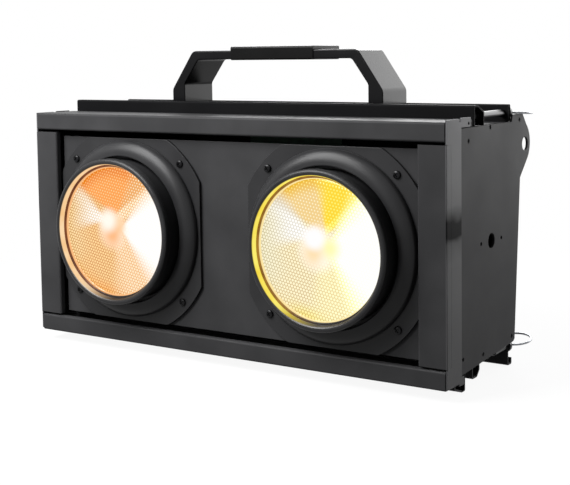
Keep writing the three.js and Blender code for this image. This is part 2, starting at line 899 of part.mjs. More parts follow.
// Heat sink: a round base with upright fins behind it
function heatSink() {
  let body = rodY(0, 0, sinkRadius, sinkFront, finFront, bowlSides);
  for (let i = 0; i < finCount; i += 1) {
    const x = (i - (finCount - 1) / 2) * finPitch;
    const reach = Math.sqrt(sinkRadius ** 2 - (Math.abs(x) + finThickness) ** 2);
    const half = finThickness / 2;
    body = body.add(block(x - half, x + half, finFront - overrun, finFront + finLength, -reach, reach));
  }
  return body;
}

// Fan frame: a square duct with a hub on three struts, and the shaft that the rotor turns on
function fanFrame() {
  const strutFront = fanRear - fanStrut;
  let body = block(-fanHalfWidth, fanHalfWidth, fanFront, fanRear, -fanHalfWidth, fanHalfWidth);
  body = body.subtract(rodY(0, 0, fanBore, fanFront - overrun, fanRear + overrun, bowlSides));
  body = body.add(rodY(0, 0, fanHubRadius, strutFront, fanRear, bowlSides));
  for (let i = 0; i < fanStrutCount; i += 1) {
    const half = fanStrutWidth / 2;
    const strut = block(-half, half, strutFront, fanRear, 0, fanBore + overrun);
    body = body.add(strut.rotate([0, (fullTurn * i) / fanStrutCount / degree, 0]));
  }
  return body.add(rodY(0, 0, fanShaftRadius, strutFront - fanShaftLength, strutFront, boltSides));
}

function fanRotor() {
  const hubRear = fanRear - fanStrut - runningGap;
  const hubFront = fanFront + runningGap;
  let body = rodY(0, 0, fanHubRadius, hubFront, hubRear, bowlSides);
  const middle = (hubFront + hubRear) / 2;
  for (let i = 0; i < bladeCount; i += 1) {
    const geometry = new THREE.BoxGeometry(bladeThickness, bladeDepth, bladeTip - fanHubRadius + overrun);
    geometry.rotateZ(bladePitch);
    geometry.translate(0, middle, (bladeTip + fanHubRadius - overrun) / 2);
    geometry.rotateY((fullTurn * i) / bladeCount);
    body = body.add(solid(geometry));
  }
  const boreFront = fanRear - fanStrut - fanShaftLength - runningGap;
  return body.subtract(rodY(0, 0, fanShaftRadius + runningGap, boreFront, hubRear + overrun, boltSides));
}

// Flange screws: a pan head on a plain shank
function flangeScrew() {
  const seatY = flangeFront - seat;
  const head = rodY(0, 0, screwHeadRadius, seatY - screwHeadHeight, seatY);
  return head.add(rodY(0, 0, screwShankRadius, seatY - screwHeadHeight, seatY + screwLength));
}

// Locking pins: a shank, a collar against the rail, and a tail with the ring's eye
function lockingPin(front) {
  const shank = rodY(0, 0, pinRadius, front, pinTailFront);
  const head = rodY(0, 0, pinHeadRadius, pinHeadFront, pinTailFront, holeSides);
  const tail = rodY(0, 0, pinTailRadius, pinHeadFront, pinEnd);
  const eye = rodX(ringPivotY, 0, ringEyeRadius, -pinRadius - overrun, pinRadius + overrun);
  return shank.add(head).add(tail).subtract(eye);
}

function pullRing(droop) {
  const geometry = new THREE.TorusGeometry(ringRadius, ringWireRadius, wireSides, wireSteps);
  geometry.translate(0, ringRadius, 0);
  geometry.rotateX(-droop);
  return solid(geometry);
}

// Rear menu plate with a sunk display window and four button holes
function menuModule() {
  let body = block(-menuHalfWidth, menuHalfWidth, menuFront, menuRear, menuLow, menuHigh);
  const windowFloor = menuRear - windowDepth;
  body = body.subtract(
    block(-windowHalfWidth, windowHalfWidth, windowFloor, menuRear + overrun, windowLow, windowHigh),
  );
  for (const share of buttonShares) {
    const hole = buttonRadius + buttonClearance;
    body = body.subtract(rodY(share * buttonSpacing, buttonZ, hole, menuFront - overrun, menuRear + overrun));
  }
  return body;
}

function menuButton() {
  const collarRear = rearPanelFront - buttonClearance;
  const collarFront = collarRear - buttonCollar;
  const stemFront = boardFront + boardThickness + switchHeight + buttonTravel + buttonClearance;
  const cap = rodY(0, 0, buttonRadius, collarFront, menuRear + buttonProud);
  const collar = rodY(0, 0, buttonCollarRadius, collarFront, collarRear);
  return cap.add(collar).add(rodY(0, 0, buttonStemRadius, stemFront, collarRear));
}

// Control board on four standoffs, with a switch under each button
function controlBoard() {
  const back = boardFront + boardThickness;
  let body = block(-menuHalfWidth, menuHalfWidth, boardFront, back, menuLow, menuHigh);
  for (const side of [-1, 1]) {
    const x = side * (menuHalfWidth - standoffInset);
    for (const z of [menuLow + standoffInset, menuHigh - standoffInset]) {
      body = body.add(rodY(x, z, standoffRadius, boardFront, rearPanelFront - seat));
    }
  }
  for (const share of buttonShares) {
    body = body.add(rodY(share * buttonSpacing, buttonZ, switchRadius, boardFront, back + switchHeight));
  }
  return body;
}

// Panel socket: a square flange, a barrel through the panel and a round mouth
function socket(mouthRadius) {
  const rear = menuFront + socketFlange;
  const half = socketHalfWidth;
  const flange = block(-half, half, menuFront, rear, -socketHalfHeight, socketHalfHeight);
  const barrel = rodY(0, 0, socketBarrelRadius, rear - socketBarrelDepth, rear, holeSides);
  const mouth = rodY(0, 0, mouthRadius, rear - socketMouthDepth, rear + overrun, holeSides);
  return flange.add(barrel).subtract(mouth);
}

// Build the assembly
add('front_top_bar', topBar(), blackPaint);
add('front_bottom_bar', bottomBar(), blackPaint);
add('top_plate', block(-sheetHalf, sheetHalf, housingFront, housingRear, topPlateLow, plateTop), blackPaint);
add(
  'bottom_plate',
  block(
    -sheetHalf,
    sheetHalf,
    bottomFlangeDepth + sheet,
    rearPanelFront - seat,
    bottomPlateLow,
    bottomPlateHigh,
  ),
  blackPaint,
);
add('rear_panel', rearPanel(), blackPaint);
add('front_panel', frontPanel(), blackPaint);
add('top_front_rail', topFrontRail(), blackPaint);
add('top_rear_rail', topRearRail(), blackPaint);
add(
  'bottom_front_rail',
  bevelledRail(frontRailFront, frontRailFlat, frontRailDepth, plateInner - frontRailEndInset, railNose),
  blackPaint,
);
add(
  'bottom_middle_rail',
  bevelledRail(middleRailFront, middleRailFlat, middleRailDepth, plateInner - middleRailEndInset),
  blackPaint,
);
add('bottom_rear_rail', bottomRearRail(), blackPaint);
add('handle', handle(), blackPaint);
add('handle_grip', handleGrip(), softRubber);

for (const side of [-1, 1]) {
  const name = sideName(side);
  const lamp = [side * lampX, 0, lampZ];
  add(`front_post_${name}`, post(side), blackPaint);
  add(`side_plate_${name}`, sidePlate(side), blackPaint);
  add(`lamp_flange_${name}`, lampFlange(side), castPaint);
  add(`lamp_barrel_${name}`, lampBarrel().translate(lamp), castPaint);
  add(`lens_${name}`, rodY(0, 0, lensRadius, lensFront, lensBack, turnSides).translate(lamp), beadGlass);
  add(`reflector_${name}`, reflector().translate(lamp), brightMetal);
  add(`led_module_${name}`, ledModule().translate(lamp), phosphor);
  add(`heat_sink_${name}`, heatSink().translate(lamp), rawAluminium);
  add(`fan_frame_${name}`, fanFrame().translate(lamp), darkPlastic);
  add(`fan_rotor_${name}`, fanRotor().translate(lamp), darkPlastic);
  screwPlaces(side).forEach(([x, z], i) => {
    add(`flange_screw_${name}_${i + 1}`, flangeScrew().translate([x, 0, z]), blackZinc);
  });
  const upper = [side * pinX, 0, upperPinZ];
  const lower = [side * pinX, 0, lowerPinZ];
  add(`upper_pin_${name}`, lockingPin(upperPinFront).translate(upper), blackZinc);
  add(`lower_pin_${name}`, lockingPin(lowerPinFront).translate(lower), blackZinc);
  add(
    `upper_ring_${name}`,
    pullRing(upperRingDroop).translate([side * pinX, ringPivotY, upperPinZ]),
    springSteel,
  );
  add(
    `lower_ring_${name}`,
    pullRing(lowerRingDroop).translate([side * pinX, ringPivotY, lowerPinZ]),
    springSteel,
  );
}

// Seen from behind, the inlets are on the right and the outlets on the left
add('data_inlet', socket(dataMouthRadius).translate([-socketX, 0, dataSocketZ]), darkPlastic);
add('data_outlet', socket(dataMouthRadius).translate([socketX, 0, dataSocketZ]), darkPlastic);
add('power_inlet', socket(powerMouthRadius).translate([-socketX, 0, powerSocketZ]), darkPlastic);
add('power_outlet', socket(powerMouthRadius).translate([socketX, 0, powerSocketZ]), darkPlastic);
add('menu_module', menuModule(), darkPlastic);
add('control_board', controlBoard(), boardLaminate);
buttonShares.forEach((share, i) => {
  add(`menu_button_${i + 1}`, menuButton().translate([share * buttonSpacing, 0, buttonZ]), softRubber);
});
const supplyLow = bottomPlateHigh + seat;
add(
  'power_supply',
  block(
    -supplyHalfWidth,
    supplyHalfWidth,
    supplyRear - supplyLength,
    supplyRear,
    supplyLow,
    supplyLow + supplyHeight,
  ),
  rawAluminium,
);

export default fixture;
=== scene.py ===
# %% [markdown]
# # An audience blinder light, dressed over its CAD frame
#
# The real light is a low box of black powder-coated sheet steel. Two round lamps with pressed bead
# lenses look out through a recessed front panel, a strap handle with a rubber sleeve stands on top, and
# ringed locking pins sit at the four rear corners. The CAD frame holds every piece at its real place.
# This script keeps those places and gives each visible piece its folded bends, rounded edges and finish.

import bmesh
import bpy
import numpy as np
from mathutils import Matrix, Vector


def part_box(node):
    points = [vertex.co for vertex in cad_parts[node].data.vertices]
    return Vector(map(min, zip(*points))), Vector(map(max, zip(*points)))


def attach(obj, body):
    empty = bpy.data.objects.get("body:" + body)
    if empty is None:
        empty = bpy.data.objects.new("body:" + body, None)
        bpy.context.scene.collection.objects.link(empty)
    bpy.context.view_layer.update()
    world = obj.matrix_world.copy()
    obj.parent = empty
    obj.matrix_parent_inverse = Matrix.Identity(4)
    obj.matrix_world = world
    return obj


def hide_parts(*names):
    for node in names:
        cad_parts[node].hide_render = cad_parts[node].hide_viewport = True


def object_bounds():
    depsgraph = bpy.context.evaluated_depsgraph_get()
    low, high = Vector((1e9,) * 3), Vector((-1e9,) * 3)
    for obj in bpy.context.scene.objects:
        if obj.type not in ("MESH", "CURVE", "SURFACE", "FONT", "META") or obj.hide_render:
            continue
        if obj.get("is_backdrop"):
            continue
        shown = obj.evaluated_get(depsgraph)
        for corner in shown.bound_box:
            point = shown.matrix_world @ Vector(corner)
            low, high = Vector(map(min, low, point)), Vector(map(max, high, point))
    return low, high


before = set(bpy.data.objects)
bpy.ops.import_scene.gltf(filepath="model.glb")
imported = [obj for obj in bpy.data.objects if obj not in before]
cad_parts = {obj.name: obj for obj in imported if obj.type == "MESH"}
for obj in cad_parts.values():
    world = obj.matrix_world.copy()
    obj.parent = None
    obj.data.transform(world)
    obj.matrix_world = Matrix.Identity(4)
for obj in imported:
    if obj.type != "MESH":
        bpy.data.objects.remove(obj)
cad_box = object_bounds()

# %% [markdown]
# ## One set of axes for the drawing
#
# Sheet-metal sizes are easiest in millimetres from the bezel: x across from the middle, y back from the
# bezel's front face, z up from its lower edge. Two measured boxes say where the CAD stands that origin,
# so every piece below lands on its CAD node without any fitting.

# %% Axes
MM = 0.001
RIM_FRONT = -20.0
FOOT = -9.0
barrel_corner, foot_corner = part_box("lamp_barrel_left")[0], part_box("bottom_front_rail")[0]
SHIFT = np.array([0.0, barrel_corner.y - RIM_FRONT * MM, foot_corner.z - FOOT * MM])


def placed(points):
    """Millimetres on the light's own axes to metres in the frame: times a thousandth, plus the shift."""
    return np.asarray(points, float) * MM + SHIFT


print("shift in mm:", np.round(SHIFT / MM, 3))

# %% [markdown]
# ## Finishing a mesh
#
# Every builder below ends with the same three steps: merge points that meet at a pole or seam, turn all
# faces outwards, and shade smooth except across real edges. Doing that once keeps the pieces short.

# %% Mesh helpers
SHARP = 32.0


def linked(name, data):
    """A new object that holds the data, in the scene's own collection."""
    made = bpy.data.objects.new(name, data)
    bpy.context.scene.collection.objects.link(made)
    return made


def new_piece(name, points, faces, sharp=SHARP):
    """A mesh object from points in millimetres and faces as index rows, merged, facing outwards, smooth
    below the sharp angle."""
    mesh = bpy.data.meshes.new(name)
    mesh.from_pydata(placed(points), [], [list(f) for f in faces])
    work = bmesh.new()
    work.from_mesh(mesh)
    bmesh.ops.remove_doubles(work, verts=work.verts, dist=1e-7)
    bmesh.ops.dissolve_degenerate(work, edges=work.edges, dist=1e-8)
    bmesh.ops.recalc_face_normals(work, faces=work.faces)
    work.to_mesh(mesh)
    work.free()
    mesh.shade_smooth()
    mesh.set_sharp_from_angle(angle=np.radians(sharp))
    return linked(name, mesh)


def grid_faces(rows, cols, wrap_rows=False, wrap_cols=False):
    """Each grid point joins its neighbours in the next row and column, and round the seam where a
    direction closes."""
    i = np.arange(rows if wrap_rows else rows - 1)
    j = np.arange(cols if wrap_cols else cols - 1)
    a, b = np.meshgrid(i, j, indexing="ij")
    c, d = (a + 1) % rows, (b + 1) % cols
    return np.stack([a * cols + b, a * cols + d, c * cols + d, c * cols + b], -1).reshape(-1, 4)


def once_round(steps):
    """Equal angles once round a circle."""
    return np.linspace(0, 2 * np.pi, steps, endpoint=False)


# %% [markdown]
# ## Rounded lines and folded sheets
#
# A press brake never leaves a sharp corner: the sheet turns through an arc of about its own thickness.
# One function rounds the corners of any line, another offsets that line by the sheet's thickness, and
# the closed strip that results is carried along the bar's length. That gives every rail and bar the soft
# highlight that runs along its bends.

# %% Rounded lines
def unit(v):
    """Each vector divided by its own length."""
    return v / np.maximum(np.linalg.norm(v, axis=-1, keepdims=True), 1e-12)


def rounded(line, radius, closed=False, steps=5):
    """Each corner gives way to an arc that touches both sides: it starts radius over tan(half the
    corner's angle) before it, and swings about the centre on the bisector."""
    p = np.asarray(line, float)
    before, after = unit(np.roll(p, 1, 0) - p), unit(np.roll(p, -1, 0) - p)
    half = np.arccos(np.clip((before * after).sum(-1), -1, 1)) / 2
    lengths = [np.linalg.norm(np.roll(p, step, 0) - p, axis=-1) for step in (1, -1)]
    reach = np.minimum(*lengths) * 0.48
    tangent = np.minimum(np.broadcast_to(radius, len(p)) / np.maximum(np.tan(half), 1e-9), reach)
    swing = np.maximum(np.pi - 2 * half, 1e-6)[:, None]
    r = (tangent * np.tan(half))[:, None]
    centre = p + unit(before + after) * np.hypot(tangent[:, None], r)
    v0, v1 = p + before * tangent[:, None] - centre, p + after * tangent[:, None] - centre
    s = np.linspace(0, 1, steps + 1)[:, None, None]
    arcs = centre + (np.sin((1 - s) * swing) * v0 + np.sin(s * swing) * v1) / np.sin(swing)
    flat = (swing < 0.01).ravel()
    arcs[:, flat] = p[flat]
    arcs = arcs.transpose(1, 0, 2)
    if closed:
        return arcs.reshape(-1, 2)
    return np.concatenate([p[:1], arcs[1:-1].reshape(-1, 2), p[-1:]])


def folded(line, thickness, bend):
    """The outer side of the sheet follows the rounded line; the inner side is that line moved left by
    the thickness along its normals."""
    outer = rounded(line, bend)
    t = unit(np.diff(outer, axis=0))
    n = np.stack([-t[:, 1], t[:, 0]], -1)
    first, last = np.concatenate([n[:1], n]), np.concatenate([n, n[-1:]])
    shift = (first + last) / (1 + (first * last).sum(-1, keepdims=True))
    return np.concatenate([outer, (outer + shift * thickness)[::-1]])


AXES = {"x": (1, 2, 0), "y": (0, 2, 1), "z": (0, 1, 2)}


def in_space(flat, height, axis):
    """Puts plane points at a height along the axis: the plane's two coordinates are the other two axes
    in order."""
    out = np.zeros(flat.shape[:-1] + (3,))
    first, second, along = AXES[axis]
    out[..., first], out[..., second], out[..., along] = flat[..., 0], flat[..., 1], height
    return out


def even(piece):
    """Large flat faces set the normals along their rounded edges, so flat sheet stays flat in the light."""
    weighted = piece.modifiers.new("even", "WEIGHTED_NORMAL")
    weighted.mode, weighted.weight, weighted.keep_sharp = "FACE_AREA", 50, True
    return piece


def bar(name, outline, lo, hi, axis="x", edge=0.3):
    """An outline carried straight from lo to hi along an axis, closed by its two end faces, with its
    edges rounded by a Bevel modifier."""
    outline = np.asarray(outline, float)
    n = len(outline)
    points = np.concatenate([in_space(outline, lo, axis), in_space(outline, hi, axis)])
    sides = grid_faces(2, n, wrap_cols=True).tolist()
    piece = new_piece(name, points, sides + [list(range(n))[::-1], list(range(n, 2 * n))])
    bevel = piece.modifiers.new("edge", "BEVEL")
    bevel.width, bevel.segments, bevel.use_clamp_overlap = edge * MM, 2, True
    bevel.limit_method, bevel.angle_limit = "ANGLE", np.radians(50)
    return even(piece)


# %% [markdown]
# ## Flat plates with holes
#
# Laser-cut sheet is a flat outline with holes, given a thickness. Cutting each hole with a boolean is
# slow and leaves ragged faces. A flat curve does it in one step: its first loop is the edge, the other
# loops are holes, and its own bevel rounds all of the edges by the same small amount.

# %% Flat plates
def circle(cx, cy, radius, steps=48):
    """Points at equal angles round a centre: centre plus radius times cosine and sine."""
    t = once_round(steps)
    return np.stack([cx + radius * np.cos(t), cy + radius * np.sin(t)], -1)


def rectangle(x0, x1, y0, y1, radius=0.0):
    """Four corners, each rounded where a radius is given."""
    corners = [(x0, y0), (x1, y0), (x1, y1), (x0, y1)]
    return rounded(corners, radius, closed=True) if radius else np.array(corners, float)


def plate(name, outline, holes, lo, hi, axis="y", edge=0.3):
    """A filled flat curve with a thickness from lo to hi along an axis and edges rounded by edge; the
    curve is drawn in by the same amount, so its size stays."""
    curve = bpy.data.curves.new(name, "CURVE")
    curve.dimensions, curve.fill_mode = "2D", "BOTH"
    for loop in [outline, *holes]:
        spline = curve.splines.new("POLY")
        spline.points.add(len(loop) - 1)
        co = np.concatenate([np.asarray(loop, float), np.zeros((len(loop), 1)), np.ones((len(loop), 1))], 1)
        spline.points.foreach_set("co", co.ravel())
        spline.use_cyclic_u = True
    curve.extrude, curve.offset = (hi - lo) / 2 - edge, -edge
    curve.bevel_depth, curve.bevel_resolution = edge, 2
    drawn = bpy.data.objects.new(name, curve)
    mesh = bpy.data.meshes.new_from_object(drawn)
    co = np.zeros(len(mesh.vertices) * 3)
    mesh.vertices.foreach_get("co", co)
    co = co.reshape(-1, 3)
    faces = [list(p.vertices) for p in mesh.polygons]
    bpy.data.objects.remove(drawn)
    bpy.data.curves.remove(curve)
    bpy.data.meshes.remove(mesh)
    return even(new_piece(name, in_space(co[:, :2], co[:, 2] + (lo + hi) / 2, axis), faces))


def joined(name, *pieces):
    """Several meshes become one piece, with their modifiers applied first, so that it can ride and be
    painted as one."""
    graph = bpy.context.evaluated_depsgraph_get()
    work = bmesh.new()
    for piece in pieces:
        mesh = bpy.data.meshes.new_from_object(piece.evaluated_get(graph))
        work.from_mesh(mesh)
        bpy.data.meshes.remove(mesh)
    mesh = bpy.data.meshes.new(name)
    work.to_mesh(mesh)
    work.free()
    mesh.set_sharp_from_angle(angle=np.radians(SHARP))
    for piece in pieces:
        bpy.data.objects.remove(piece)
    return even(linked(name, mesh))


# %% [markdown]
# ## Turned pieces
#
# Rims, domes, pins and lenses are round, so each is a profile carried round an axis. The profile is a
# closed run of radius and depth. Rounding its corners before it is carried round gives the soft lips
# of a casting.

# %% Turned pieces
def turned(name, profile, cx, cz, steps=144, radius=0.0, sharp=SHARP, closed=True):
    """The profile's points carried round the axis through (cx, cz) along y: x is cx plus r times sin t,
    z is cz plus r times cos t. A profile that ends on the axis isn't closed on itself."""
    p = rounded(profile, radius, closed=True) if np.any(radius) else np.asarray(profile, float)
    t = once_round(steps)
    r, y = p[:, 0][:, None], p[:, 1][:, None]
    points = np.stack([cx + r * np.sin(t), y + 0 * t, cz + r * np.cos(t)], -1).reshape(-1, 3)
    return new_piece(name, points, grid_faces(len(p), steps, closed, True), sharp)


def ring_wire(name, centre, radius, wire, droop, steps=72, sides=12):
    """A wire ring standing fore and aft from its pivot, tipped by the droop: a circle of the wire's
    radius carried round a circle of the ring's radius."""
    t, s = once_round(steps)[:, None], once_round(sides)
    reach = radius + wire * np.cos(s)
    across, along = reach * np.sin(t), radius - reach * np.cos(t)
    lift = wire * np.sin(s)
    y = along * np.cos(droop) + lift * np.sin(droop)
    z = lift * np.cos(droop) - along * np.sin(droop)
    points = np.stack([across, y, z], -1).reshape(-1, 3) + np.asarray(centre, float)
    return new_piece(name, points, grid_faces(steps, sides, True, True), 180)


# %% [markdown]
# ## Nodes and colours
#
# A material is a small network. One function adds a node with its settings and links it to the sockets
# it is given. Colours are written as the sRGB hex values that one would read off a swatch, and one
# function turns them linear.

# %% Material helpers
def linear(code):
    """An sRGB hex colour as linear values: below 0.04045 divided by 12.92, above it ((c + 0.055) /
    1.055) to the power 2.4."""
    c = np.array([int(code[i : i + 2], 16) for i in (1, 3, 5)]) / 255
    return (*np.where(c <= 0.04045, c / 12.92, ((c + 0.055) / 1.055) ** 2.4), 1.0)


def feed(tree, node, inputs):
    """Each input named gets its value, or a link from a socket or from another node's first output."""
    for key, value in inputs.items():
        if isinstance(value, bpy.types.Node):
            value = value.outputs[0]
        if isinstance(value, bpy.types.NodeSocket):
            tree.links.new(value, node.inputs[key])
        else:
            node.inputs[key].default_value = value


def add(tree, kind, inputs=None, **settings):
    """One node of a kind, named without its ShaderNode prefix, with its own settings and its inputs fed."""
    made = tree.nodes.new("ShaderNode" + kind)
    for key, value in settings.items():
        setattr(made, key, value)
    feed(tree, made, inputs or {})
    return made


def surface(name, **uniform):
    """A material with one Principled shader on its output; the uniform values go straight on the
    shader's own sockets."""
    material = bpy.data.materials.new(name)
    material.use_nodes = True
    tree = material.node_tree
    tree.nodes.clear()
    shader = add(tree, "BsdfPrincipled", {key.replace("_", " "): value for key, value in uniform.items()})
    add(tree, "OutputMaterial", {0: shader})
    return material, tree, shader


def two_tone(tree, place, dark, light, tone_mm):
    """A colour between two hex colours by a noise whose patches are tone_mm wide, so no face is one
    flat tone."""
    noise = add(tree, "TexNoise", {"Vector": place, "Scale": 1 / (tone_mm * MM), "Detail": 3.0})
    ramp = add(tree, "ValToRGB", {"Fac": noise})
    for element, at, tone in zip(ramp.color_ramp.elements, (0.35, 0.65), (dark, light)):
        element.position, element.color = at, linear(tone)
    return ramp


def simple(name, dark, light, tone_mm, grain_mm, depth_mm, strength=0.4, **uniform):
    """A finish of two close tones with a fine bump: tone_mm is how wide the tones spread, grain_mm how
    wide one grain is and depth_mm how deep."""
    material, tree, shader = surface(name, **uniform)
    place = add(tree, "TexCoord").outputs["Object"]
    tones = two_tone(tree, place, dark, light, tone_mm)
    noise = add(tree, "TexNoise", {"Vector": place, "Scale": 1 / (grain_mm * MM), "Detail": 2.0})
    bump = add(tree, "Bump", {"Height": noise, "Strength": strength, "Distance": depth_mm * MM})
    feed(tree, shader, {"Base Color": tones, "Normal": bump})
    return material


# %% [markdown]
# ## Powder-coated steel
#
# The housing is black polyester powder, sprayed dry and baked, which leaves a satin skin with a faint
# orange peel about a millimetre wide. Its dull colour is nearly black. What one sees as grey is the
# room in its sheen, so the roughness matters more than the colour. Handling rubs the sheen unevenly,
# which a broad noise on the roughness gives. The cast lamp parts shine a little more under their paint,
# the handle is black and glossier, and the top rails are black and duller.

# %% Powder coat
SHADER = "Principled BSDF"


def powder(name, dark, light, rough_low, rough_high, peel_mm=0.02, level=0.07):
    """Satin powder coat: tones 45 mm wide, an orange peel 1.1 mm wide, and a roughness that swings
    between two values over about 60 mm."""
    material = simple(name, dark, light, 45, 1.1, peel_mm, 0.35, IOR=1.5, Specular_IOR_Level=level)
    tree = material.node_tree
    place = add(tree, "TexCoord").outputs["Object"]
    broad = add(tree, "TexNoise", {"Vector": place, "Scale": 1 / (60 * MM), "Detail": 4.0})
    swing = {"Value": broad, "From Min": 0.3, "From Max": 0.7, "To Min": rough_low, "To Max": rough_high}
    feed(tree, tree.nodes[SHADER], {"Roughness": add(tree, "MapRange", swing)})
    return material


SATIN = ("#29292a", "#303031", 0.46, 0.56)
POWDER = powder("powder_coated_steel", *SATIN)
CAST = powder("painted_cast_aluminium", "#1e1e1f", "#252526", 0.3, 0.4, 0.03, 0.14)
GLOSS = powder("semi_gloss_coated_steel", "#050506", "#080809", 0.22, 0.27, level=0.1)
MATT = powder("matt_coated_steel", "#080809", "#0b0b0c", 0.55, 0.65, level=0.03)
print("coats:", POWDER.name, CAST.name, GLOSS.name, MATT.name)

# %% [markdown]
# ## The posts' side strips
#
# In the photograph the strip beside a post is grey at both ends, with one nearly black band above mid
# height, as satin paint looks when it mirrors a bright room with a dark part. A dark object in the room
# would give that from one side only. So the whole reflection, grey ends and dark band, is a painted
# reflection: it is laid into the paint's colour as a tone by height, with its edges a little uneven, and
# only on the strip's outer face.

# %% Post paint with a painted reflection
POST_HIGH = 202.5
# Distances from the middle plane between which the painted reflection's tones fade in, just under the outer
# face at 210 mm
FADE_FROM, FADE_TO = 208.6, 209.7
# Share of the post's height and the painted reflection's tone there
STRIP_REFLECTION_TONES = [
    (0.0, "#414142"),
    (0.48, "#4a4a4b"),
    (0.543, "#3a3a3b"),
    (0.567, "#040405"),
    (0.627, "#080809"),
    (0.683, "#4c4c4d"),
    (1.0, "#58585a"),
]


def painted_reflection_paint(name):
    """Satin paint whose colour and sheen give way, on the strip's outer face, to a painted reflection: a
    ramp of tones by height, with a sheen that follows the tone. A noise 16 mm wide moves the ramp by up to
    2% of the height."""
    material = powder(name, *SATIN)
    tree = material.node_tree
    shader = tree.nodes[SHADER]
    place = add(tree, "TexCoord").outputs["Object"]
    wobble = add(tree, "TexNoise", {"Vector": place, "Scale": 1 / (16 * MM), "Detail": 1.0})
    parts = add(tree, "SeparateXYZ", {0: place})
    low, high = placed([0, 0, 0])[2], placed([0, 0, POST_HIGH])[2]
    height = add(tree, "MapRange", {"Value": parts.outputs["Z"], "From Min": low, "From Max": high})
    swing = add(tree, "MapRange", {"Value": wobble, "To Min": -0.02, "To Max": 0.02})
    along = add(tree, "Math", {0: height, 1: swing}, operation="ADD")
    ramp = add(tree, "ValToRGB", {"Fac": along})
    while len(ramp.color_ramp.elements) < len(STRIP_REFLECTION_TONES):
        ramp.color_ramp.elements.new(0.5)
    for element, (at, tone) in zip(ramp.color_ramp.elements, STRIP_REFLECTION_TONES):
        element.position, element.color = at, linear(tone)
    outside = add(tree, "Math", {0: parts.outputs["X"]}, operation="ABSOLUTE")
    edges = {"Value": outside, "From Min": FADE_FROM * MM, "From Max": FADE_TO * MM}
    on_strip = add(tree, "MapRange", edges)
    shine = add(tree, "MapRange", {"Value": ramp, "From Max": 0.09, "To Min": 0.02, "To Max": 0.2})
    level = add(tree, "Mix", {0: on_strip, 2: 0.07, 3: shine})
    satin = shader.inputs["Base Color"].links[0].from_socket
    mix = add(tree, "Mix", {"Factor": on_strip, 6: satin, 7: ramp}, data_type="RGBA")
    feed(tree, shader, {"Specular IOR Level": level, "Base Color": mix.outputs[2]})
    return material


# The posts' satin paint, with a painted reflection on the strips' outer faces
POST_REFLECTION_PAINT = painted_reflection_paint("powder_coated_post_painted_reflection")
print("post paint made, tones:", len(STRIP_REFLECTION_TONES))

# %% [markdown]
# ## Rubber, zinc, wire and bare aluminium
#
# The grip is moulded rubber: matt and darker than the paint. Screws and pins are steel blackened on
# zinc, with a tight dark gloss. The pull rings are bare spring wire, pale and half bright. Inside, the
# coolers are raw extruded aluminium with a dull shine, the reflectors are polished, the light field is
# yellow phosphor and the board is green laminate. The rear fittings are moulded black plastic with gilt
# contacts and a glossy dark display.

# %% Small finishes
RUBBER = simple(
    "moulded_rubber", "#040404", "#070707", 18, 0.9, 0.02, Roughness=0.26, IOR=1.5, Specular_IOR_Level=0.08
)
ZINC = simple(
    "black_zinc_steel", "#0c0c0d", "#141416", 5, 0.5, 0.01,
    Roughness=0.3, Metallic=0.3, Specular_IOR_Level=0.16,
)
WIRE = simple("bare_spring_steel", "#5e6063", "#8b8d90", 4, 0.4, 0.005, Roughness=0.26, Metallic=1.0)
ALUMINIUM = simple(
    "raw_extruded_aluminium", "#a9abad", "#c2c4c6", 12, 0.7, 0.01, Roughness=0.42, Metallic=1.0
)
PLASTIC = simple("moulded_black_plastic", "#131315", "#1b1b1e", 14, 0.6, 0.02, Roughness=0.45, IOR=1.53)
LAMINATE = simple("green_circuit_laminate", "#0e3f22", "#145230", 9, 0.8, 0.01, Roughness=0.4, IOR=1.5)
MIRROR = simple(
    "polished_reflector_aluminium", "#dcdad2", "#efede6", 20, 2.0, 0.005, Roughness=0.12, Metallic=1.0
)
PHOSPHOR = simple("yellow_phosphor", "#e0a21e", "#f2bd3e", 3, 0.6, 0.02, Roughness=0.55, IOR=1.5)
BRASS = simple("gilt_contact_metal", "#c49a45", "#e2bd6c", 2, 0.4, 0.005, Roughness=0.25, Metallic=1.0)
DISPLAY = simple("dark_display_window", "#050607", "#0a0c0f", 12, 3.0, 0.0, Roughness=0.08, IOR=1.5)
print("finishes so far:", len(bpy.data.materials))


def dress(piece, material, slot, *nodes, body="housing"):
    """Gives a piece its material, the CAD body it rides on and the CAD nodes it stands for. The slot is not
    used."""
    piece.data.materials.clear()
    piece.data.materials.append(material)
    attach(piece, body)
    if nodes:
        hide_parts(*nodes)
    return piece


# %% [markdown]
# ## The bezel's bars
#
# The top bar is one folded sheet: a short return behind the opening, the face, a wide flange over the
# housing and a leg down onto the top plate. The bottom bar is its smaller mirror. Both are drawn as
# the run of their outer side, so the bend along the front top edge is a real arc that catches the light.

# %% Bars
SHEET = 1.5
BEND = 1.9
SIDES = {"left": -1, "right": 1}
BAR_HALF = 208.2
INNER = 206.2


def span(k, near, far):
    """Two distances from the middle plane as a rising pair of x, on the side that k stands for."""
    return sorted((k * near, k * far))


def bezel_bar(name, run, low, high):
    """A sheet folded along its run, with an upright ear at each end that reaches from low to high."""
    folds = bar(f"{name}_folds", folded(run, SHEET, BEND), -BAR_HALF, BAR_HALF)
    ear = rectangle(0.2, 18, low, high, 0.8)
    ears = [bar(f"{name}_ear_{s}", ear, *span(k, INNER, INNER - SHEET)) for s, k in SIDES.items()]
    dress(joined(f"{name}_dressed", folds, *ears), POWDER, "black_paint", name)


bezel_bar("front_top_bar", [(47, 195.15), (47, 201), (0, 201), (0, 186), (5.2, 186)], 187, 200.5)
bezel_bar("front_bottom_bar", [(5.2, 15), (0, 15), (0, 0), (20, 0)], 0.6, 14)
print("bars made")

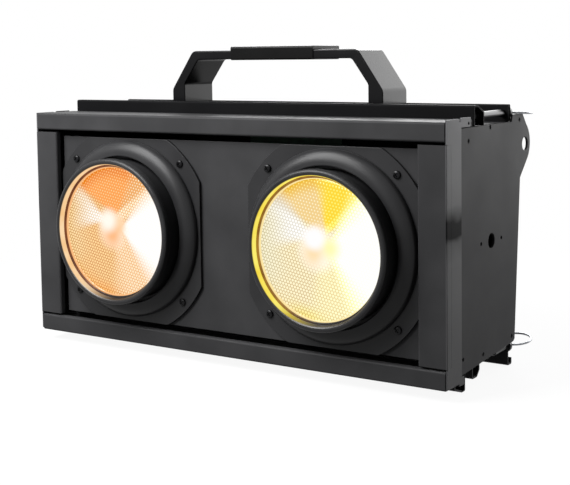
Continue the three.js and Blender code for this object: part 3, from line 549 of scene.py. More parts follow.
# %% [markdown]
# ## Posts and their side strips
#
# Each post is a folded face with a side strip that laps over the side plate. The strip carries a small
# tab with a hole at the top and a toe at the bottom. Face and strip are two cut shapes, so the fold is
# carried up along z and the strip is a flat plate with its own outline. The left strip's top is cut a
# little lower than the right one's.

# %% Posts
POST_IN, POST_OUT = 185.2, 210
TOP_DROP = {"left": 1.3, "right": 0.0}
STRIP_TOP = 203


def strip_outline(drop):
    """The strip's edge seen from the side, as depth and height: the toe, the tab, the notched top, and
    a front edge that steps back behind the fold. The drop lowers its top."""
    top = STRIP_TOP - drop
    toe = [(0.5, 1.4), (20.6, 1.4), (20.6, -0.6), (28.6, -0.6), (28.6, 6), (24.6, 6)]
    tab = [(24.6, 195.8), (41, 195.8), (41, top), (24.6, top)]
    notch = [(24.6, 200), (21, 200), (21, top - 0.5), (0.5, top - 0.5)]
    return toe + tab + notch + [(0.5, 184.1), (7.1, 184.1), (7.1, 16.9), (0.5, 16.9)]


for side, k in SIDES.items():
    run = [(POST_IN * k, 5.2), (POST_IN * k, 0), (POST_OUT * k, 0), (POST_OUT * k, 7.0)]
    fold = folded(run, SHEET * k, [0, BEND, 0.6, 0])
    face = bar(f"post_fold_{side}", fold, 17, 184, "z", 0.15)
    edge_line = rounded(strip_outline(TOP_DROP[side]), 0.4, closed=True)
    tab_hole = circle(37.2, 198.4, 1.3, 24)
    strip_x = span(k, POST_OUT - SHEET, POST_OUT)
    strip = plate(f"post_strip_{side}", edge_line, [tab_hole], *strip_x, "x", 0.15)
    # The post's paint carries the strip's painted reflection
    dress(joined(f"front_post_{side}_dressed", face, strip), POST_REFLECTION_PAINT, "black_paint", f"front_post_{side}")
print("posts made")

# %% [markdown]
# ## Side plates
#
# A side plate is one cut sheet. Its lower edge rises and its rear edge leans back, and the top rear
# corner ends in a round hanging ear. The outline is a line with one arc in it, and each hole is a loop of
# its own.

# %% Side plates
PLATE_IN, PLATE_OUT = 206.35, 208.35
EAR = np.radians(np.linspace(-43.3, 52.8, 25))
ear_arc = np.stack([140.8 + 19.5 * np.cos(EAR), 176.2 + 19.5 * np.sin(EAR)], -1)
slot_edge = [(81.1, 195), (81.1, 191.4), (78.7, 191.4), (78.7, 195)]
outline = np.concatenate([
    [(5.35, 4.3), (126, 11.6), (128.6, 13.4), (139.4, 147.6)],
    ear_arc,
    [(144.5, 201), (124.3, 201), (122.3, 195), *slot_edge, (5.35, 195)],
])
# Depth and height of the two index holes, then of the five screws
INDEX = [(62.9, 102.4), (101.1, 102.4)]
SIDE_SCREWS = [(40.3, 184.5), (137.6, 196), (30.2, 17.8), (66.5, 13.8), (122.3, 16.8)]
holes = [circle(149.5, 175.4, 5.8), circle(82, 102.4, 6.05)]
holes += [circle(y, z, 1.5, 24) for y, z in INDEX] + [circle(y, z, 1.7, 24) for y, z in SIDE_SCREWS]
for side, k in SIDES.items():
    sheet = plate(f"side_plate_{side}_dressed", outline, holes, *span(k, PLATE_IN, PLATE_OUT), "x")
    dress(sheet, POWDER, "black_paint", f"side_plate_{side}")
print("side plates made, holes:", len(holes))

# %% [markdown]
# ## Housing sheets
#
# The top and bottom plates close the box, the front panel is recessed behind the bezel with a round
# opening for each lamp, and the rear panel carries the vents and the openings for the sockets and
# buttons. They are cut sheets again, with the panel's folded returns added at its sides.

# %% Housing sheets
LAMP_X, LAMP_Z = 105.6, 100.5
PANEL_HALF, PANEL_LOW, PANEL_HIGH = 183.6, 19, 180.3
REAR_FACE = 126.7
# Depth from front to rear and height from under to upper face
FLAT = {"top_plate": (19.5, REAR_FACE, 193.5, 195), "bottom_plate": (21.5, 125.05, 12.6, 14.1)}
for name, (near, far, low, high) in FLAT.items():
    flat = plate(f"{name}_dressed", rectangle(-INNER, INNER, near, far, 0.6), [], low, high, "z")
    dress(flat, POWDER, "black_paint", name)

face = rectangle(-PANEL_HALF, PANEL_HALF, PANEL_LOW, PANEL_HIGH, 1.0)
bores = [circle(k * LAMP_X, LAMP_Z, 62.5, 96) for k in (-1, 1)]
panel = [plate("front_panel_face", face, bores, 8.15, 9.65)]
for side, k in SIDES.items():
    inset = (PANEL_HALF - SHEET) * k
    fold = folded([(inset, 9), (inset, 28.15), (INNER * k, 28.15)], -SHEET * k, BEND)
    panel.append(bar(f"front_panel_return_{side}", fold, PANEL_LOW, PANEL_HIGH, "z"))
dress(joined("front_panel_dressed", *panel), POWDER, "black_paint", "front_panel")

VENT_HALF, VENT_STEP, VENT_HIGH = 30, 11, 3
KEY_X, KEY_Z = (-27, -9, 9, 27), 146
vents = []
for k in (-1, 1):
    for i in range(6):
        low = LAMP_Z + (i - 2.5) * VENT_STEP
        x = k * LAMP_X
        vents.append(rectangle(x - VENT_HALF, x + VENT_HALF, low, low + VENT_HIGH, 1.45))
ports = [circle(k * 30, z, 11.3) for k in (-1, 1) for z in (100, 58)]
key_holes = [circle(x, KEY_Z, 3.9, 32) for x in KEY_X]
sheet = rectangle(-INNER, INNER, 14.25, 193.35, 0.6)
rear = plate("rear_panel_dressed", sheet, vents + ports + key_holes, REAR_FACE - SHEET, REAR_FACE)
dress(rear, POWDER, "black_paint", "rear_panel")
print("vents:", len(vents), "ports:", len(ports))

# %% [markdown]
# ## Rails
#
# The rails above and below let one light stand on the next. On top there is a hat section with a sloped
# shoulder and a small channel. Below there are two open sections with a bevelled corner and one hooked
# strip. All are folded from the same sheet, so each is a run of points and a bend radius.

# %% Rails
RAILS = {
    "top_front_rail": ([(69.3, 195.15), (69.3, 206.1), (58.4, 211.3), (51, 211.3), (51, 195.15)], 208),
    "top_rear_rail": ([(124.4, 195.15), (124.4, 209.5), (119.4, 209.5), (119.4, 195.15)], 206),
    "bottom_front_rail": (
        [(21, 12.45), (21, -4.8), (33.5, FOOT), (38.7, FOOT), (39.5, -8.2), (39.5, 12.45)],
        205.5,
    ),
    "bottom_middle_rail": ([(70, 12.45), (70, FOOT), (79, FOOT), (84, -4), (84, 12.45)], 197),
    "bottom_rear_rail": ([(122.9, 12.45), (122.9, FOOT), (131, FOOT), (131, -3.5)], 204.5),
}
for name, (run, half) in RAILS.items():
    rail = bar(f"{name}_dressed", folded(run, SHEET, 1.7), -half, half)
    dress(rail, MATT if name.startswith("top") else POWDER, "black_paint", name)
print("rails made:", len(RAILS))

# %% [markdown]
# ## Handle and grip
#
# The handle is one thick strap with sloped shoulders. Its outline is drawn once and given the strap's
# depth, with edges rounded by a millimetre. The rubber sleeve is a tube round that strap, thick over its
# top where the palm rests and thin elsewhere, with open ends.

# %% Handle
over = [(-112.3, 195.15), (-112.3, 221.5), (-88, 256.2), (88, 256.2), (112.3, 221.5), (112.3, 195.15)]
under = [(98, 195.15), (98, 226.5), (82, 248.3), (-82, 248.3), (-98, 226.5), (-98, 195.15)]
loop = np.concatenate([rounded(over, 7.0), rounded(under, 5.0)])
dress(plate("handle_dressed", loop, [], 77.5, 119, "y", 0.9), GLOSS, "black_paint", "handle")

bore = rectangle(77.4, 119.1, 248.15, 256.35, 0.8)
skin = rectangle(76.6, 119.9, 247.55, 259.6, 1.6)
sleeve = plate("handle_grip_dressed", skin, [bore], -44, 44, "x", 0.4)
dress(sleeve, RUBBER, "grip_rubber", "handle_grip")
print("handle made")

# %% [markdown]
# ## Lamp flanges
#
# Around each lamp a thin plate with a domed ring stands a little proud of the panel. The plate is a
# circle cut straight where it meets the panel's edges and, on its inner side, just past the dome. Its
# outline is found by clamping the points of the circle to that rectangle. The dome is a quarter of an
# ellipse carried round the lamp's axis.

# %% Lamp flanges
FLANGE_RADIUS, FLANGE_INNER = 91.8, 80.3
LIP = 64.6


def flange_outline(k):
    """Points round a circle, each pulled in along x and z to the panel's edges and the straight inner
    side."""
    p = circle(k * LAMP_X, LAMP_Z, FLANGE_RADIUS, 360)
    p[:, 0] = np.clip(p[:, 0], *span(k, LAMP_X - FLANGE_INNER, PANEL_HALF))
    p[:, 1] = np.clip(p[:, 1], PANEL_LOW, PANEL_HIGH)
    keep = np.linalg.norm(p - np.roll(p, 1, 0), axis=1) > 0.2
    return p[keep]


q = np.linspace(0.06, np.pi / 2, 14)
dome_foot = [(LIP, 7.2), (77.0, 7.2), (77.0, 5.2), (77.9, 4.9)]
dome_arc = np.stack([66 + 12 * np.cos(q), 5.0 - 8.3 * np.sin(q)], -1)
dome_profile = np.concatenate([dome_foot, dome_arc, [(65.3, -3.45), (64.8, -3.1), (LIP, -2.6)]])
for side, k in SIDES.items():
    bores = [circle(k * LAMP_X, LAMP_Z, 61.65, 96)]
    leaf = plate(f"flange_plate_{side}", flange_outline(k), bores, 5.5, 8.0, "y", 0.35)
    dome = turned(f"flange_dome_{side}", dome_profile, k * LAMP_X, LAMP_Z)
    dress(joined(f"lamp_flange_{side}_dressed", leaf, dome), CAST, "cast_paint", f"lamp_flange_{side}")
print("flanges made")

# %% [markdown]
# ## Screws
#
# Eight pan-head screws hold the flanges and fourteen smaller ones the rear panel. A head is one height
# function over a round grid: a shallow dome, less a cross whose depth is fixed wherever a point lies
# within half a slot's width of either arm. Five countersunk screws in each side plate hold the sheets
# and rails behind it.

# %% Screws
RECESS, ARM, SLOT = 1.1, 1.8, 0.42
SCREW_PLACES = [(-59.75, 59.75), (59.75, 59.75), (-59.75, -59.75), (59.75, -59.75)]


def screw_head(name, cx, cz, seat_y, radius=3.3, height=2.0, facing=-1):
    """Height over the seat is height times (0.35 + 0.65 times the root of 1 minus share cubed), less
    the recess inside a cross of two arms."""
    turn = np.pi / 5
    t = once_round(72) + turn
    share = np.array([0.0, 0.08, 0.16, 0.24, 0.32, 0.42, 0.52, 0.6, 0.7, 0.8, 0.9, 0.96, 1.0, 1.0])
    r = radius * share[:, None]
    x, z = np.abs(r * np.cos(t - turn)), np.abs(r * np.sin(t - turn))
    rise = height * (0.35 + 0.65 * np.sqrt(np.maximum(1 - share**3, 0)))[:, None] + 0 * t
    rise = rise - RECESS * ((np.minimum(x, z) < SLOT) & (np.maximum(x, z) < ARM))
    rise[-1] = 0
    points = np.stack([cx + r * np.cos(t), seat_y + facing * rise, cz + r * np.sin(t)], -1)
    return new_piece(name, points.reshape(-1, 3), grid_faces(len(share), len(t), wrap_cols=True), 25)


for side, k in SIDES.items():
    for i, (dx, dz) in enumerate(SCREW_PLACES, 1):
        node = f"flange_screw_{side}_{i}"
        head = screw_head(f"{node}_dressed", k * LAMP_X + dx, LAMP_Z + dz, 5.35)
        dress(head, ZINC, "black_zinc", node)
rear_places = [(x, z) for x in (-196, -150, -58, 58, 150, 196) for z in (24, 186)]
rear_places += [(-196, 105), (196, 105)]
heads = [screw_head(f"rear_head_{i}", x, z, 126.6, 2.8, 1.7, 1) for i, (x, z) in enumerate(rear_places)]
dress(joined("rear_panel_screws", *heads), ZINC, "black_zinc")


def sunk_screw(name, k, y, z):
    """A countersunk screw in a side plate: its flat face lies 0.3 mm under the plate's face, with a
    round socket 0.9 mm deep."""
    p = np.array([(0, -1.2), (0.8, -1.2), (0.8, -0.35), (1.3, -0.3), (1.5, -0.5), (1.5, -1.9), (0, -1.9)])
    t = once_round(24)
    r, x = p[:, :1], k * (PLATE_OUT + p[:, 1:]) + 0 * t
    points = np.stack([x, y + r * np.cos(t), z + r * np.sin(t)], -1)
    return new_piece(name, points.reshape(-1, 3), grid_faces(len(p), len(t), wrap_cols=True))


for side, k in SIDES.items():
    sunk = [sunk_screw(f"sunk_{side}_{i}", k, y, z) for i, (y, z) in enumerate(SIDE_SCREWS)]
    dress(joined(f"side_plate_screws_{side}", *sunk), MATT, "black_zinc")
print("flange screws: 8, rear screws:", len(rear_places), "side screws:", 2 * len(SIDE_SCREWS))

# %% [markdown]
# ## Lamp barrels
#
# A barrel is a tube with a rounded front rim. Just inside the rim a bright wall catches the lamp's own
# light, and a narrow ledge behind it holds the glass. The three are one turned profile. Because the
# profile's runs are known, the wall's faces and the ledge's can be given materials of their own, whose
# colour is painted lamp light: a bright glow on the wall, and a dim brown glow on the ledge, darker as
# painted shade.

# %% Barrels
def by_radius(piece, cx, cz, rules):
    """Gives each face the material number of the last rule whose span of radius and depth, in
    millimetres, holds its middle."""
    count = len(piece.data.polygons)
    middle = np.zeros(count * 3)
    piece.data.polygons.foreach_get("center", middle)
    middle = (middle.reshape(-1, 3) - SHIFT) / MM
    r = np.hypot(middle[:, 0] - cx, middle[:, 2] - cz)
    number = np.zeros(count, np.int32)
    for index, (r0, r1, y0, y1) in rules.items():
        number[(r >= r0) & (r <= r1) & (middle[:, 1] >= y0) & (middle[:, 1] <= y1)] = index
    piece.data.polygons.foreach_set("material_index", number)


rim_corners = [
    (61.5, 44.0), (61.5, -13.5), (63.6, -13.5), (63.6, -20.0), (58.3, -20.0),
    (58.3, -14.3), (56.4, -14.3), (56.4, -13.0), (58.3, -13.0), (58.3, 44.0),
]
rim_radii = [0.3, 0.3, 0.6, 2.6, 2.3, 0.25, 0.4, 0.3, 0.2, 0.3]
barrels = {}
for side, k in SIDES.items():
    barrels[side] = turned(f"lamp_barrel_{side}_dressed", rim_corners, k * LAMP_X, LAMP_Z, 192, rim_radii)
print("barrels made")

# %% [markdown]
# ## The light in the glass
#
# Seen through its beads, a lamp shows its reflector and its chip as soft patches: a white blaze towards
# one side, a white tongue across it, a deeper wedge above and a warm spot over the chip. Tracing that
# light through thousands of beads would be slow and noisy. Instead the glass glows by itself, with the
# patches set by direction from the lamp's axis, and a hexagonal bead pattern laid over them.

# %% Bead lens material
# In mm: the beads' spacing, the radius of their field, the radius where the rim's glow is full, and how
# far the glow's middle lies from the lamp's axis
BEAD_PITCH = 2.85
BEADS_OUT = 55.4
RIM_GLOW = 55
GLOW_SHIFT = (-4.5, 2.0)
# Spans of the bead wave, which runs from -1.5 to 3, that draw the deep dots and the bright ones
DOTS = ((-1.5, 0.3), (0.0, 3.0))
SMOOTH = {"interpolation_type": "SMOOTHSTEP"}


def fan(tree, place, u, w, degrees, wide, narrow):
    """1 inside a fan that opens from a point in a direction and 0 outside: the cosine of the angle from
    the fan's middle, stepped between two half-widths."""
    a = np.radians(degrees)
    away = add(tree, "VectorMath", {0: place, 1: (u * MM, 0.0, w * MM)}, operation="SUBTRACT")
    aim = add(tree, "VectorMath", {0: away}, operation="NORMALIZE")
    dot = add(tree, "VectorMath", {0: aim, 1: (np.cos(a), 0.0, np.sin(a))}, operation="DOT_PRODUCT")
    start, stop = np.cos(np.radians([wide, narrow]))
    edges = {"Value": dot.outputs["Value"], "From Min": start, "From Max": stop}
    return add(tree, "MapRange", edges, **SMOOTH)


def beyond(tree, place, start, stop, centre=(0.0, 0.0)):
    """0 at the start and 1 at the stop, two distances in millimetres from a centre, with a smooth step
    between."""
    u, w = centre
    away = add(tree, "VectorMath", {0: place, 1: (u * MM, 0.0, w * MM)}, operation="DISTANCE")
    edges = {"Value": away.outputs["Value"], "From Min": start * MM, "From Max": stop * MM}
    return add(tree, "MapRange", edges, **SMOOTH)


def layered(tree, colour, layers):
    """The colour with each layer's tone laid over it in turn, by the layer's share."""
    for share, tone in layers:
        mix = add(tree, "Mix", {"Factor": share, 6: colour, 7: linear(tone)}, data_type="RGBA")
        colour = mix.outputs[2]
    return colour


def lamp_place(tree, cx):
    """Object coordinates moved to the lamp's axis, with the depth left out."""
    place = add(tree, "TexCoord").outputs["Object"]
    x, _, z = placed([cx, 0, LAMP_Z])
    local = add(tree, "Mapping", {"Vector": place, "Location": (-x, 0.0, -z)})
    return add(tree, "VectorMath", {0: local, 1: (1.0, 0.0, 1.0)}, operation="MULTIPLY")


def bead_wave(tree, flat):
    """Sum of three cosines 60 degrees apart, which peaks at the middle of each bead in a hexagonal
    field."""
    total = None
    k = 2 * np.pi / (BEAD_PITCH * MM * np.cos(np.radians(30)))
    for angle in np.radians([80, 20, -40]):
        axis = (k * np.cos(angle), 0.0, k * np.sin(angle))
        turn = add(tree, "VectorMath", {0: flat, 1: axis}, operation="DOT_PRODUCT")
        wave = add(tree, "Math", {0: turn.outputs["Value"]}, operation="COSINE")
        total = wave if total is None else add(tree, "Math", {0: total, 1: wave}, operation="ADD")
    return total


def bead_lens(name, cx, body, base, patches, rims, core, border):
    """Pressed bead glass over a lit lamp: each patch has one colour at the middle of a bead and one
    between beads, and the bead pattern chooses between them. The first patch shows small bright dots on
    a deep field, the rest small deep dots on a bright one."""
    glass = {"Roughness": 0.14, "IOR": 1.5, "Base_Color": linear(body), "Emission_Strength": 1.0}
    material, tree, shader = surface(name, **glass)
    flat = lamp_place(tree, cx)
    moved = (GLOW_SHIFT[0] * MM, 0.0, GLOW_SHIFT[1] * MM)
    deep = add(tree, "VectorMath", {0: flat, 1: moved}, operation="SUBTRACT")
    shares = [(fan(tree, deep, *where), tones) for where, tones in patches]
    for order, inner, where, tones in rims:
        pair = {0: fan(tree, flat, *where), 1: beyond(tree, flat, inner, RIM_GLOW)}
        shares.insert(order, (add(tree, "Math", pair, operation="MULTIPLY"), tones))
    middle, between = (
        layered(tree, linear(base[i]), [(share, tones[i]) for share, tones in shares]) for i in (0, 1)
    )
    wave = bead_wave(tree, flat)
    deep_dots, bright_dots = (
        add(tree, "MapRange", {"Value": wave, "From Min": start, "From Max": stop}, **SMOOTH)
        for start, stop in DOTS
    )
    bead = add(tree, "Mix", {0: shares[0][0], 2: deep_dots, 3: bright_dots})
    dotted = add(tree, "Mix", {"Factor": bead, 6: between, 7: middle}, data_type="RGBA")
    spots = [(beyond(tree, deep, reach, near, (u, w)), tone) for (u, w, reach, near), tone in core]
    edge = beyond(tree, flat, BEADS_OUT - 0.1, BEADS_OUT + 0.3)
    colour = layered(tree, dotted.outputs[2], [*spots, (edge, border)])
    bump = add(tree, "Bump", {"Height": bead, "Strength": 0.4, "Distance": 0.25 * MM})
    feed(tree, shader, {"Emission Color": colour, "Normal": bump})
    return material


# A patch: its fan's point, direction and half-widths, then its colour on a bead and between beads. A rim
# has its order among the patches and its inner radius first. A core spot: its point, reach and full part.
AMBER = dict(
    body="#1c1008",
    base=("#ffd692", "#c47a34"),
    patches=[
        ((6, 13, 94, 66, 52), ("#ffd696", "#f6983a")),
        ((6, 7, 40, 34, 8), ("#fff2d0", "#e8a254")),
        ((5, -2, 308, 50, 8), ("#ffe6c0", "#e6a662")),
        ((-2.5, 6.7, 166, 34, 4), ("#ffffff", "#e2c698")),
        ((12, 1, 357, 60, 30), ("#ffffff", "#fffaf2")),
    ],
    rims=[
        (1, 42, (0, 0, 95, 75, 40), ("#ffc878", "#e87c10")),
        (3, 42, (0, 0, 280, 60, 15), ("#ffc070", "#d07c28")),
        (6, 22, (0, 0, 178, 48, 10), ("#ffe0a6", "#bc8240")),
    ],
    core=[
        ((3, -1, 22, 5), "#ffe6cc"),
        ((9, 4, 11, 3), "#fdd0a4"),
        ((2.4, -5.2, 15, 1), "#fcb47a"),
        ((-2.5, 7, 15, 2), "#fff6ea"),
    ],
    border="#f6b87c",
)
YELLOW = dict(
    body="#1c170a",
    base=("#fff4cc", "#cab07c"),
    patches=[
        ((7.4, 13.5, 98, 66, 52), ("#fff3cc", "#ecc982")),
        ((11, 10, 66, 42, 16), ("#fffa78", "#f8d200")),
        ((5, -2, 305, 56, 8), ("#fffbc8", "#e4ca88")),
        ((1.5, 6.8, 162, 38, 4), ("#ffffff", "#d8d2c4")),
        ((12, 0, 357, 74, 50), ("#fffff0", "#ffff96")),
        ((14, 0, 357, 64, 36), ("#ffffff", "#fffff2")),
    ],
    rims=[
        (1, 42, (0, 0, 95, 75, 40), ("#ffe87a", "#eab634")),
        (2, 42, (0, 0, 288, 60, 15), ("#fff080", "#ceac48")),
        (6, 22, (0, 0, 180, 48, 10), ("#f8f2d4", "#c2b68e")),
    ],
    core=[
        ((4, -1, 24, 6), "#fffaf0"),
        ((15, 0, 14, 0.5), "#fff6b0"),
        ((-0.5, -5, 16, 1), "#fbdcae"),
        ((0.5, 7, 13, 4), "#fff8fa"),
    ],
    border="#f9e2a0",
)


def painted_lamp_glow(name, dark, light, glow, cx, reach):
    """Painted lamp light on the barrel's metal: an emission in place of the lamp's light falling on it,
    uneven round its length, and fading out over the front of the lip."""
    paint = {"Roughness": 0.35, "IOR": 1.5, "Specular_IOR_Level": 0.3, "Base_Color": linear("#17120e")}
    material, tree, shader = surface(name, **paint)
    flat = lamp_place(tree, cx)
    tones = two_tone(tree, add(tree, "TexCoord").outputs["Object"], dark, light, 14)
    pair = {0: beyond(tree, flat, reach + 0.6, reach), 1: fan(tree, flat, 0, 0, 150, 125, 75)}
    near = add(tree, "Math", pair, operation="MULTIPLY")
    strength = add(tree, "Math", {0: near, 1: glow}, operation="MULTIPLY")
    feed(tree, shader, {"Emission Color": tones, "Emission Strength": strength})
    return material


# Each lamp's glowing lens, and the painted lamp light on its barrel's wall and, dimmer as painted shade, on
# its ledge
GLOW = {
    "left": (
        bead_lens("lit_bead_glass_amber", -LAMP_X, **AMBER),
        painted_lamp_glow("rim_wall_painted_glow_amber", "#f9c88c", "#ffdcae", 0.95, -LAMP_X, 58.6),
        painted_lamp_glow("lens_ledge_painted_glow_amber", "#5a2204", "#8a4310", 0.8, -LAMP_X, 60),
    ),
    "right": (
        bead_lens("lit_bead_glass_yellow", LAMP_X, **YELLOW),
        painted_lamp_glow("rim_wall_painted_glow_yellow", "#f9dc3c", "#fff06c", 0.95, LAMP_X, 58.6),
        painted_lamp_glow("lens_ledge_painted_glow_yellow", "#7e4c08", "#b5801e", 0.8, LAMP_X, 60),
    ),
}
# Radius and depth of the faces that carry the wall's and the ledge's painted lamp light, by material number
PAINTED_GLOW_SPANS = {1: (57.5, 60.2, -20.1, -14.4), 2: (54.0, 58.2, -14.6, -12.9)}
for side, k in SIDES.items():
    barrel = barrels[side]
    dress(barrel, CAST, "cast_paint", f"lamp_barrel_{side}")
    barrel.data.materials.append(GLOW[side][1])
    barrel.data.materials.append(GLOW[side][2])
    by_radius(barrel, k * LAMP_X, LAMP_Z, PAINTED_GLOW_SPANS)
print("barrels dressed, bead spacing:", BEAD_PITCH, "mm")

# %% [markdown]
# ## Lenses
#
# The lens is a shallow disc of pressed glass: a low crown under the beads, a plain border ring near the
# ledge and a flat back. It is one profile carried round the axis, closed at both poles.

# %% Lenses
r = np.linspace(0, BEADS_OUT, 14)
crown = np.stack([r, -12.8 + 1.2 * (r / BEADS_OUT) ** 2], -1)
border = [(BEADS_OUT + 0.3, -11.4), (BEADS_OUT + 0.7, -11.9), (58, -11.9), (58, -8.85), (0, -8.85)]
lens_profile = np.concatenate([crown, border])
for side, k in SIDES.items():
    glass = turned(f"lens_{side}_dressed", lens_profile, k * LAMP_X, LAMP_Z, closed=False)
    dress(glass, GLOW[side][0], "bead_glass", f"lens_{side}")
print("lenses made")

# %% [markdown]
# ## Locking pins and pull rings
#
# Each pin is a turned steel rod with a collar and a tail, and a sprung wire ring through the tail. The
# pin slides and the ring swings on it, so they ride on different CAD bodies.

# %% Pins and rings
PIN_X = 201
# Height, depth of the tip and droop of the ring in degrees
LEVELS = {"upper": (202.3, 62.0, 3.5), "lower": (6.9, 100.0, -7.0)}


def pin_profile(tip):
    """Rod, collar and tail as one run of radius and depth, closed on the axis at both ends."""
    rod = [(0, tip), (2.4, tip), (3.0, tip + 0.8), (3.0, 124.55)]
    collar = [(5.0, 124.55), (5.4, 125.0), (5.4, 128.0), (5.0, 128.5)]
    return rod + collar + [(2.8, 128.6), (2.8, 133.6), (2.2, 134.15), (0, 134.15)]


for side, k in SIDES.items():
    for level, (z, tip, droop) in LEVELS.items():
        pin, ring = f"{level}_pin_{side}", f"{level}_ring_{side}"
        rod = turned(f"{pin}_dressed", pin_profile(tip), k * PIN_X, z, 40, sharp=35, closed=False)
        dress(rod, ZINC, "black_zinc", pin, body=pin)
        wire = ring_wire(f"{ring}_dressed", (k * PIN_X, 131.55, z), 14.0, 0.9, np.radians(droop))
        dress(wire, WIRE, "spring_steel", ring, body=ring)
print("pins and rings made: 4 and 4")

# %% [markdown]
# ## Rear fittings
#
# The rear of such a light carries a small menu, a data socket in and out, and a power socket in and out.
# The menu is a plate with a sunk display and four rubber keys. A socket is a square flange with four
# corner holes, a round barrel and contacts on its floor.

# %% Menu and keys
FITTING_BACK, FITTING_FACE = 126.85, 128.85
window = rectangle(-32, 32, 157, 173, 1.0)
frame_edge = rectangle(-50, 50, 136, 178, 2.0)
fascia = plate("menu_fascia", frame_edge, [*key_holes, window], FITTING_BACK, FITTING_FACE, "y", 0.35)
dress(joined("menu_module_dressed", fascia), PLASTIC, "dark_plastic", "menu_module")
screen = plate("menu_display", rectangle(-32.2, 32.2, 156.8, 173.2, 1.0), [], 126.95, 128.25, "y", 0.2)
dress(screen, DISPLAY, "dark_plastic")
stem = [(0, 118.5), (2, 118.5), (2, 123.4), (5, 123.4), (5, 124.9), (3.6, 124.9)]
cap = [(3.6, 129.7), (3.1, 130.35), (1.6, 130.1), (0, 130.0)]
for i, x in enumerate(KEY_X, 1):
    key = turned(f"menu_button_{i}_dressed", stem + cap, x, KEY_Z, 40, sharp=35, closed=False)
    dress(key, RUBBER, "grip_rubber", f"menu_button_{i}", body=f"button_{i}")
print("menu keys made:", len(KEY_X))

# %% Sockets
# Middle in x and z, radius of the mouth and number of contacts
SOCKETS = {
    "data_inlet": (-30, 100, 8.8, 5),
    "data_outlet": (30, 100, 8.8, 5),
    "power_inlet": (-30, 58, 9.6, 3),
    "power_outlet": (30, 58, 9.6, 3),
}
# Half sizes of the flange, places of its corner holes and the radius that the contacts stand on
FLANGE_HALF, CORNER, CONTACT_CIRCLE = (13, 15.5), (10.2, 12.6), 4.6
contact_run = [(0.01, 113.8), (0.9, 113.8), (0.9, 121.5), (0.5, 122.2), (0.01, 122.2)]
for name, (x, z, mouth, count) in SOCKETS.items():
    corners = [circle(x + a * CORNER[0], z + b * CORNER[1], 1.3, 20) for a in (-1, 1) for b in (-1, 1)]
    cuts = [circle(x, z, mouth, 64), *corners]
    wide, high = FLANGE_HALF
    edge_line = rectangle(x - wide, x + wide, z - high, z + high, 2.5)
    flange = plate(f"{name}_flange", edge_line, cuts, FITTING_BACK, FITTING_FACE, "y", 0.35)
    floor_run = [(11, 110.85), (0.01, 110.85), (0.01, 113.9), (mouth, 113.9)]
    cup = turned(f"{name}_cup", [(mouth, 128.4), (11, 128.4), *floor_run], x, z, 64)
    lip_run = [(mouth - 0.05, 128.5), (mouth + 1.3, 128.5), (mouth + 1.3, 128.85), (mouth + 0.4, 128.85)]
    lip = turned(f"{name}_lip", lip_run, x, z, 64)
    dress(joined(f"{name}_dressed", flange, cup, lip), PLASTIC, "dark_plastic", name)
    contacts = []
    for j, a in enumerate(np.radians(90 + 360 / count * np.arange(count))):
        cx, cz = x + CONTACT_CIRCLE * np.cos(a), z + CONTACT_CIRCLE * np.sin(a)
        contacts.append(turned(f"{name}_contact_{j}", contact_run, cx, cz, 16))
    dress(joined(f"{name}_contacts", *contacts), BRASS, "spring_steel")
print("sockets made:", len(SOCKETS))

# %% [markdown]
# ## What stays from the CAD
#
# The reflectors, light modules, coolers, fans, control board and power supply are inside the box and
# their solids already have the right shape. They stay and only get a finish of their own: fans are
# moulded plastic, and the power supply's case is black.

# %% Inner pieces
KEPT = {
    "reflector": MIRROR,
    "led_module": PHOSPHOR,
    "heat_sink": ALUMINIUM,
    "control_board": LAMINATE,
    "power_supply": MATT,
}
for name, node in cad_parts.items():
    if node.hide_render:
        continue
    finish = next((m for start, m in KEPT.items() if name.startswith(start)), PLASTIC)
    node.data.materials.clear()
    node.data.materials.append(finish)
    print("kept:", name, finish.name)

# %% [markdown]
# ## Floor, light and camera
#
# The photograph stands the light in a white studio. A pale floor and a world that camera rays see as
# white give that. Three soft lamps light it: one from the upper left front, and two from behind, on the
# right and on the left. The camera takes the photograph's angle, with a shift for the framing.

# %% Studio
FLOOR_HALF, FLOOR_GAP = 4.0, 0.0002
floor_z = min(corner[2] for corner in cad_box)
gx, gy = np.meshgrid([-FLOOR_HALF, FLOOR_HALF], [-FLOOR_HALF, FLOOR_HALF], indexing="ij")
corners = np.stack([gx, gy, 0 * gx + floor_z - FLOOR_GAP], -1).reshape(-1, 3)
ground = bpy.data.meshes.new("floor")
ground.from_pydata(corners, [], grid_faces(2, 2).tolist())
floor = linked("floor", ground)
floor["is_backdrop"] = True


def seen_directly(tree):
    """1 for what the camera sees itself or through glass or in a reflection, 0 for scattered light."""
    path = add(tree, "LightPath").outputs
    first = {0: path["Is Camera Ray"], 1: path["Is Glossy Ray"]}
    either = add(tree, "Math", first, operation="MAXIMUM")
    return add(tree, "Math", {0: either, 1: path["Is Transmission Ray"]}, operation="MAXIMUM")


material, tree, shader = surface("pale_floor", Roughness=0.9)
scattered = add(tree, "LightPath").outputs["Is Diffuse Ray"]
tones = {"Factor": scattered, 6: linear("#e6e6e6"), 7: linear("#484848")}
bounce = add(tree, "Mix", tones, data_type="RGBA")
feed(tree, shader, {"Base Color": bounce.outputs[2]})
plain = add(tree, "Emission", {"Color": linear("#ffffff"), "Strength": 1.0})
place = add(tree, "TexCoord").outputs["Object"]
away = add(tree, "VectorMath", {0: place}, operation="LENGTH").outputs["Value"]
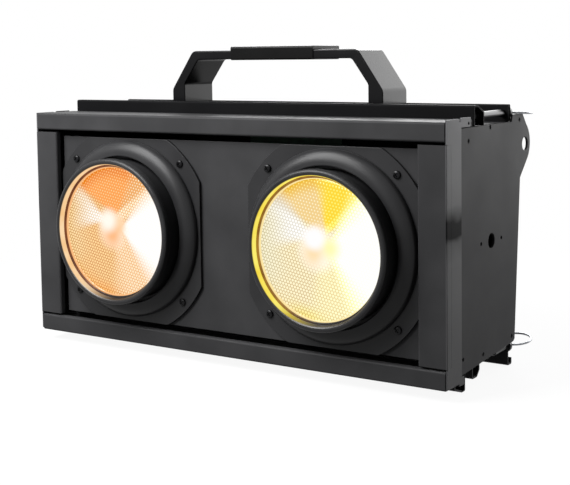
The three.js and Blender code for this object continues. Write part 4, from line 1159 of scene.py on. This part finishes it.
# Near the light its shadow shows by 8%, and from 0.6 m outwards the floor is plain white
edges = {"Value": away, "From Min": 0.2, "From Max": 0.6, "To Min": 0.92, "To Max": 1.0}
clear = add(tree, "MapRange", edges)
share = add(tree, "Math", {0: seen_directly(tree), 1: clear}, operation="MULTIPLY")
mix = add(tree, "MixShader", {0: share, 1: shader, 2: plain})
feed(tree, tree.nodes["Material Output"], {0: mix})
floor.data.materials.append(material)

world = bpy.data.worlds.new("studio")
bpy.context.scene.world = world
world.use_nodes = True
tree = world.node_tree
tree.nodes.clear()
ambient = add(tree, "Background", {"Color": linear("#ffffff"), "Strength": 0.1})
white = add(tree, "Background", {"Color": linear("#ffffff"), "Strength": 1.0})
mix = add(tree, "MixShader", {0: seen_directly(tree), 1: ambient, 2: white})
add(tree, "OutputWorld", {0: mix.outputs[0]})
print("floor and world made, floor at", round(floor_z, 4), "m")


# %% Lamps
def standing(side, up, back, position):
    """The matrix whose columns are an object's own x, y and z directions and its position."""
    return Matrix([*np.stack([side, up, back, position], -1).tolist(), [0, 0, 0, 1]])


def softbox(name, position, target, size, watts):
    """A square area lamp: its minus z runs from its position to the target, and its x is level."""
    light = bpy.data.lights.new(name, "AREA")
    light.shape, light.size, light.energy = "SQUARE", size, watts
    back = unit(np.subtract(position, target))
    side = unit(np.cross([0, 0, 1.0], back))
    lamp = linked(name, light)
    lamp.matrix_world = standing(side, np.cross(back, side), back, position)
    lamp.visible_camera = False


softbox("key", (-0.26, -0.5, 0.62), (0, 0, 0.1), 0.5, 16)
softbox("side", (0.66, 1.27, 0.6), (0.1, 0, 0.12), 1.2, 21)
softbox("rear", (-0.7, 1.5, 1.0), (0, 0, 0.1), 0.9, 26)
print("lamps made")

# %% Camera
# Fitted to the photograph: where it stands in mm, how it is turned in degrees, and in pixels the
# picture's width and height, the focal length and the point that the camera's axis meets
STAND = (591.72, -761.11, 249.07)
AZIMUTH, PITCH, ROLL = np.radians([31.64, 4.545, -0.5708])
WIDE, HIGH, FOCAL, AXIS_X, AXIS_Y = 570, 485, 1165, 345, 150
SENSOR = 36

level = np.array([np.cos(AZIMUTH), np.sin(AZIMUTH), 0])
ahead = np.array([-np.sin(AZIMUTH) * np.cos(PITCH), np.cos(AZIMUTH) * np.cos(PITCH), -np.sin(PITCH)])
upright = np.cross(level, ahead)
right = np.cos(ROLL) * level + np.sin(ROLL) * upright
up = -np.sin(ROLL) * level + np.cos(ROLL) * upright
camera_data = bpy.data.cameras.new("camera")
camera_data.sensor_fit, camera_data.sensor_width = "HORIZONTAL", SENSOR
camera_data.lens = FOCAL / WIDE * SENSOR
camera_data.shift_x, camera_data.shift_y = (WIDE / 2 - AXIS_X) / WIDE, (AXIS_Y - HIGH / 2) / WIDE
camera_data.clip_start, camera_data.clip_end = 0.01, 50
camera = linked("camera", camera_data)
camera.matrix_world = standing(right, up, -ahead, placed(STAND))
bpy.context.scene.camera = camera
bpy.context.scene.view_settings.view_transform = "Standard"
print("camera made, lens:", round(camera_data.lens, 2), "mm")

# %% Sizes and finish
new_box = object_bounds()
boxes = {"cad": cad_box, "visual": new_box}
boxes = {name: [list(map(float, corner)) for corner in box] for name, box in boxes.items()}
for name, box in boxes.items():
    print(name, "box:", np.round(box, 4).tolist())
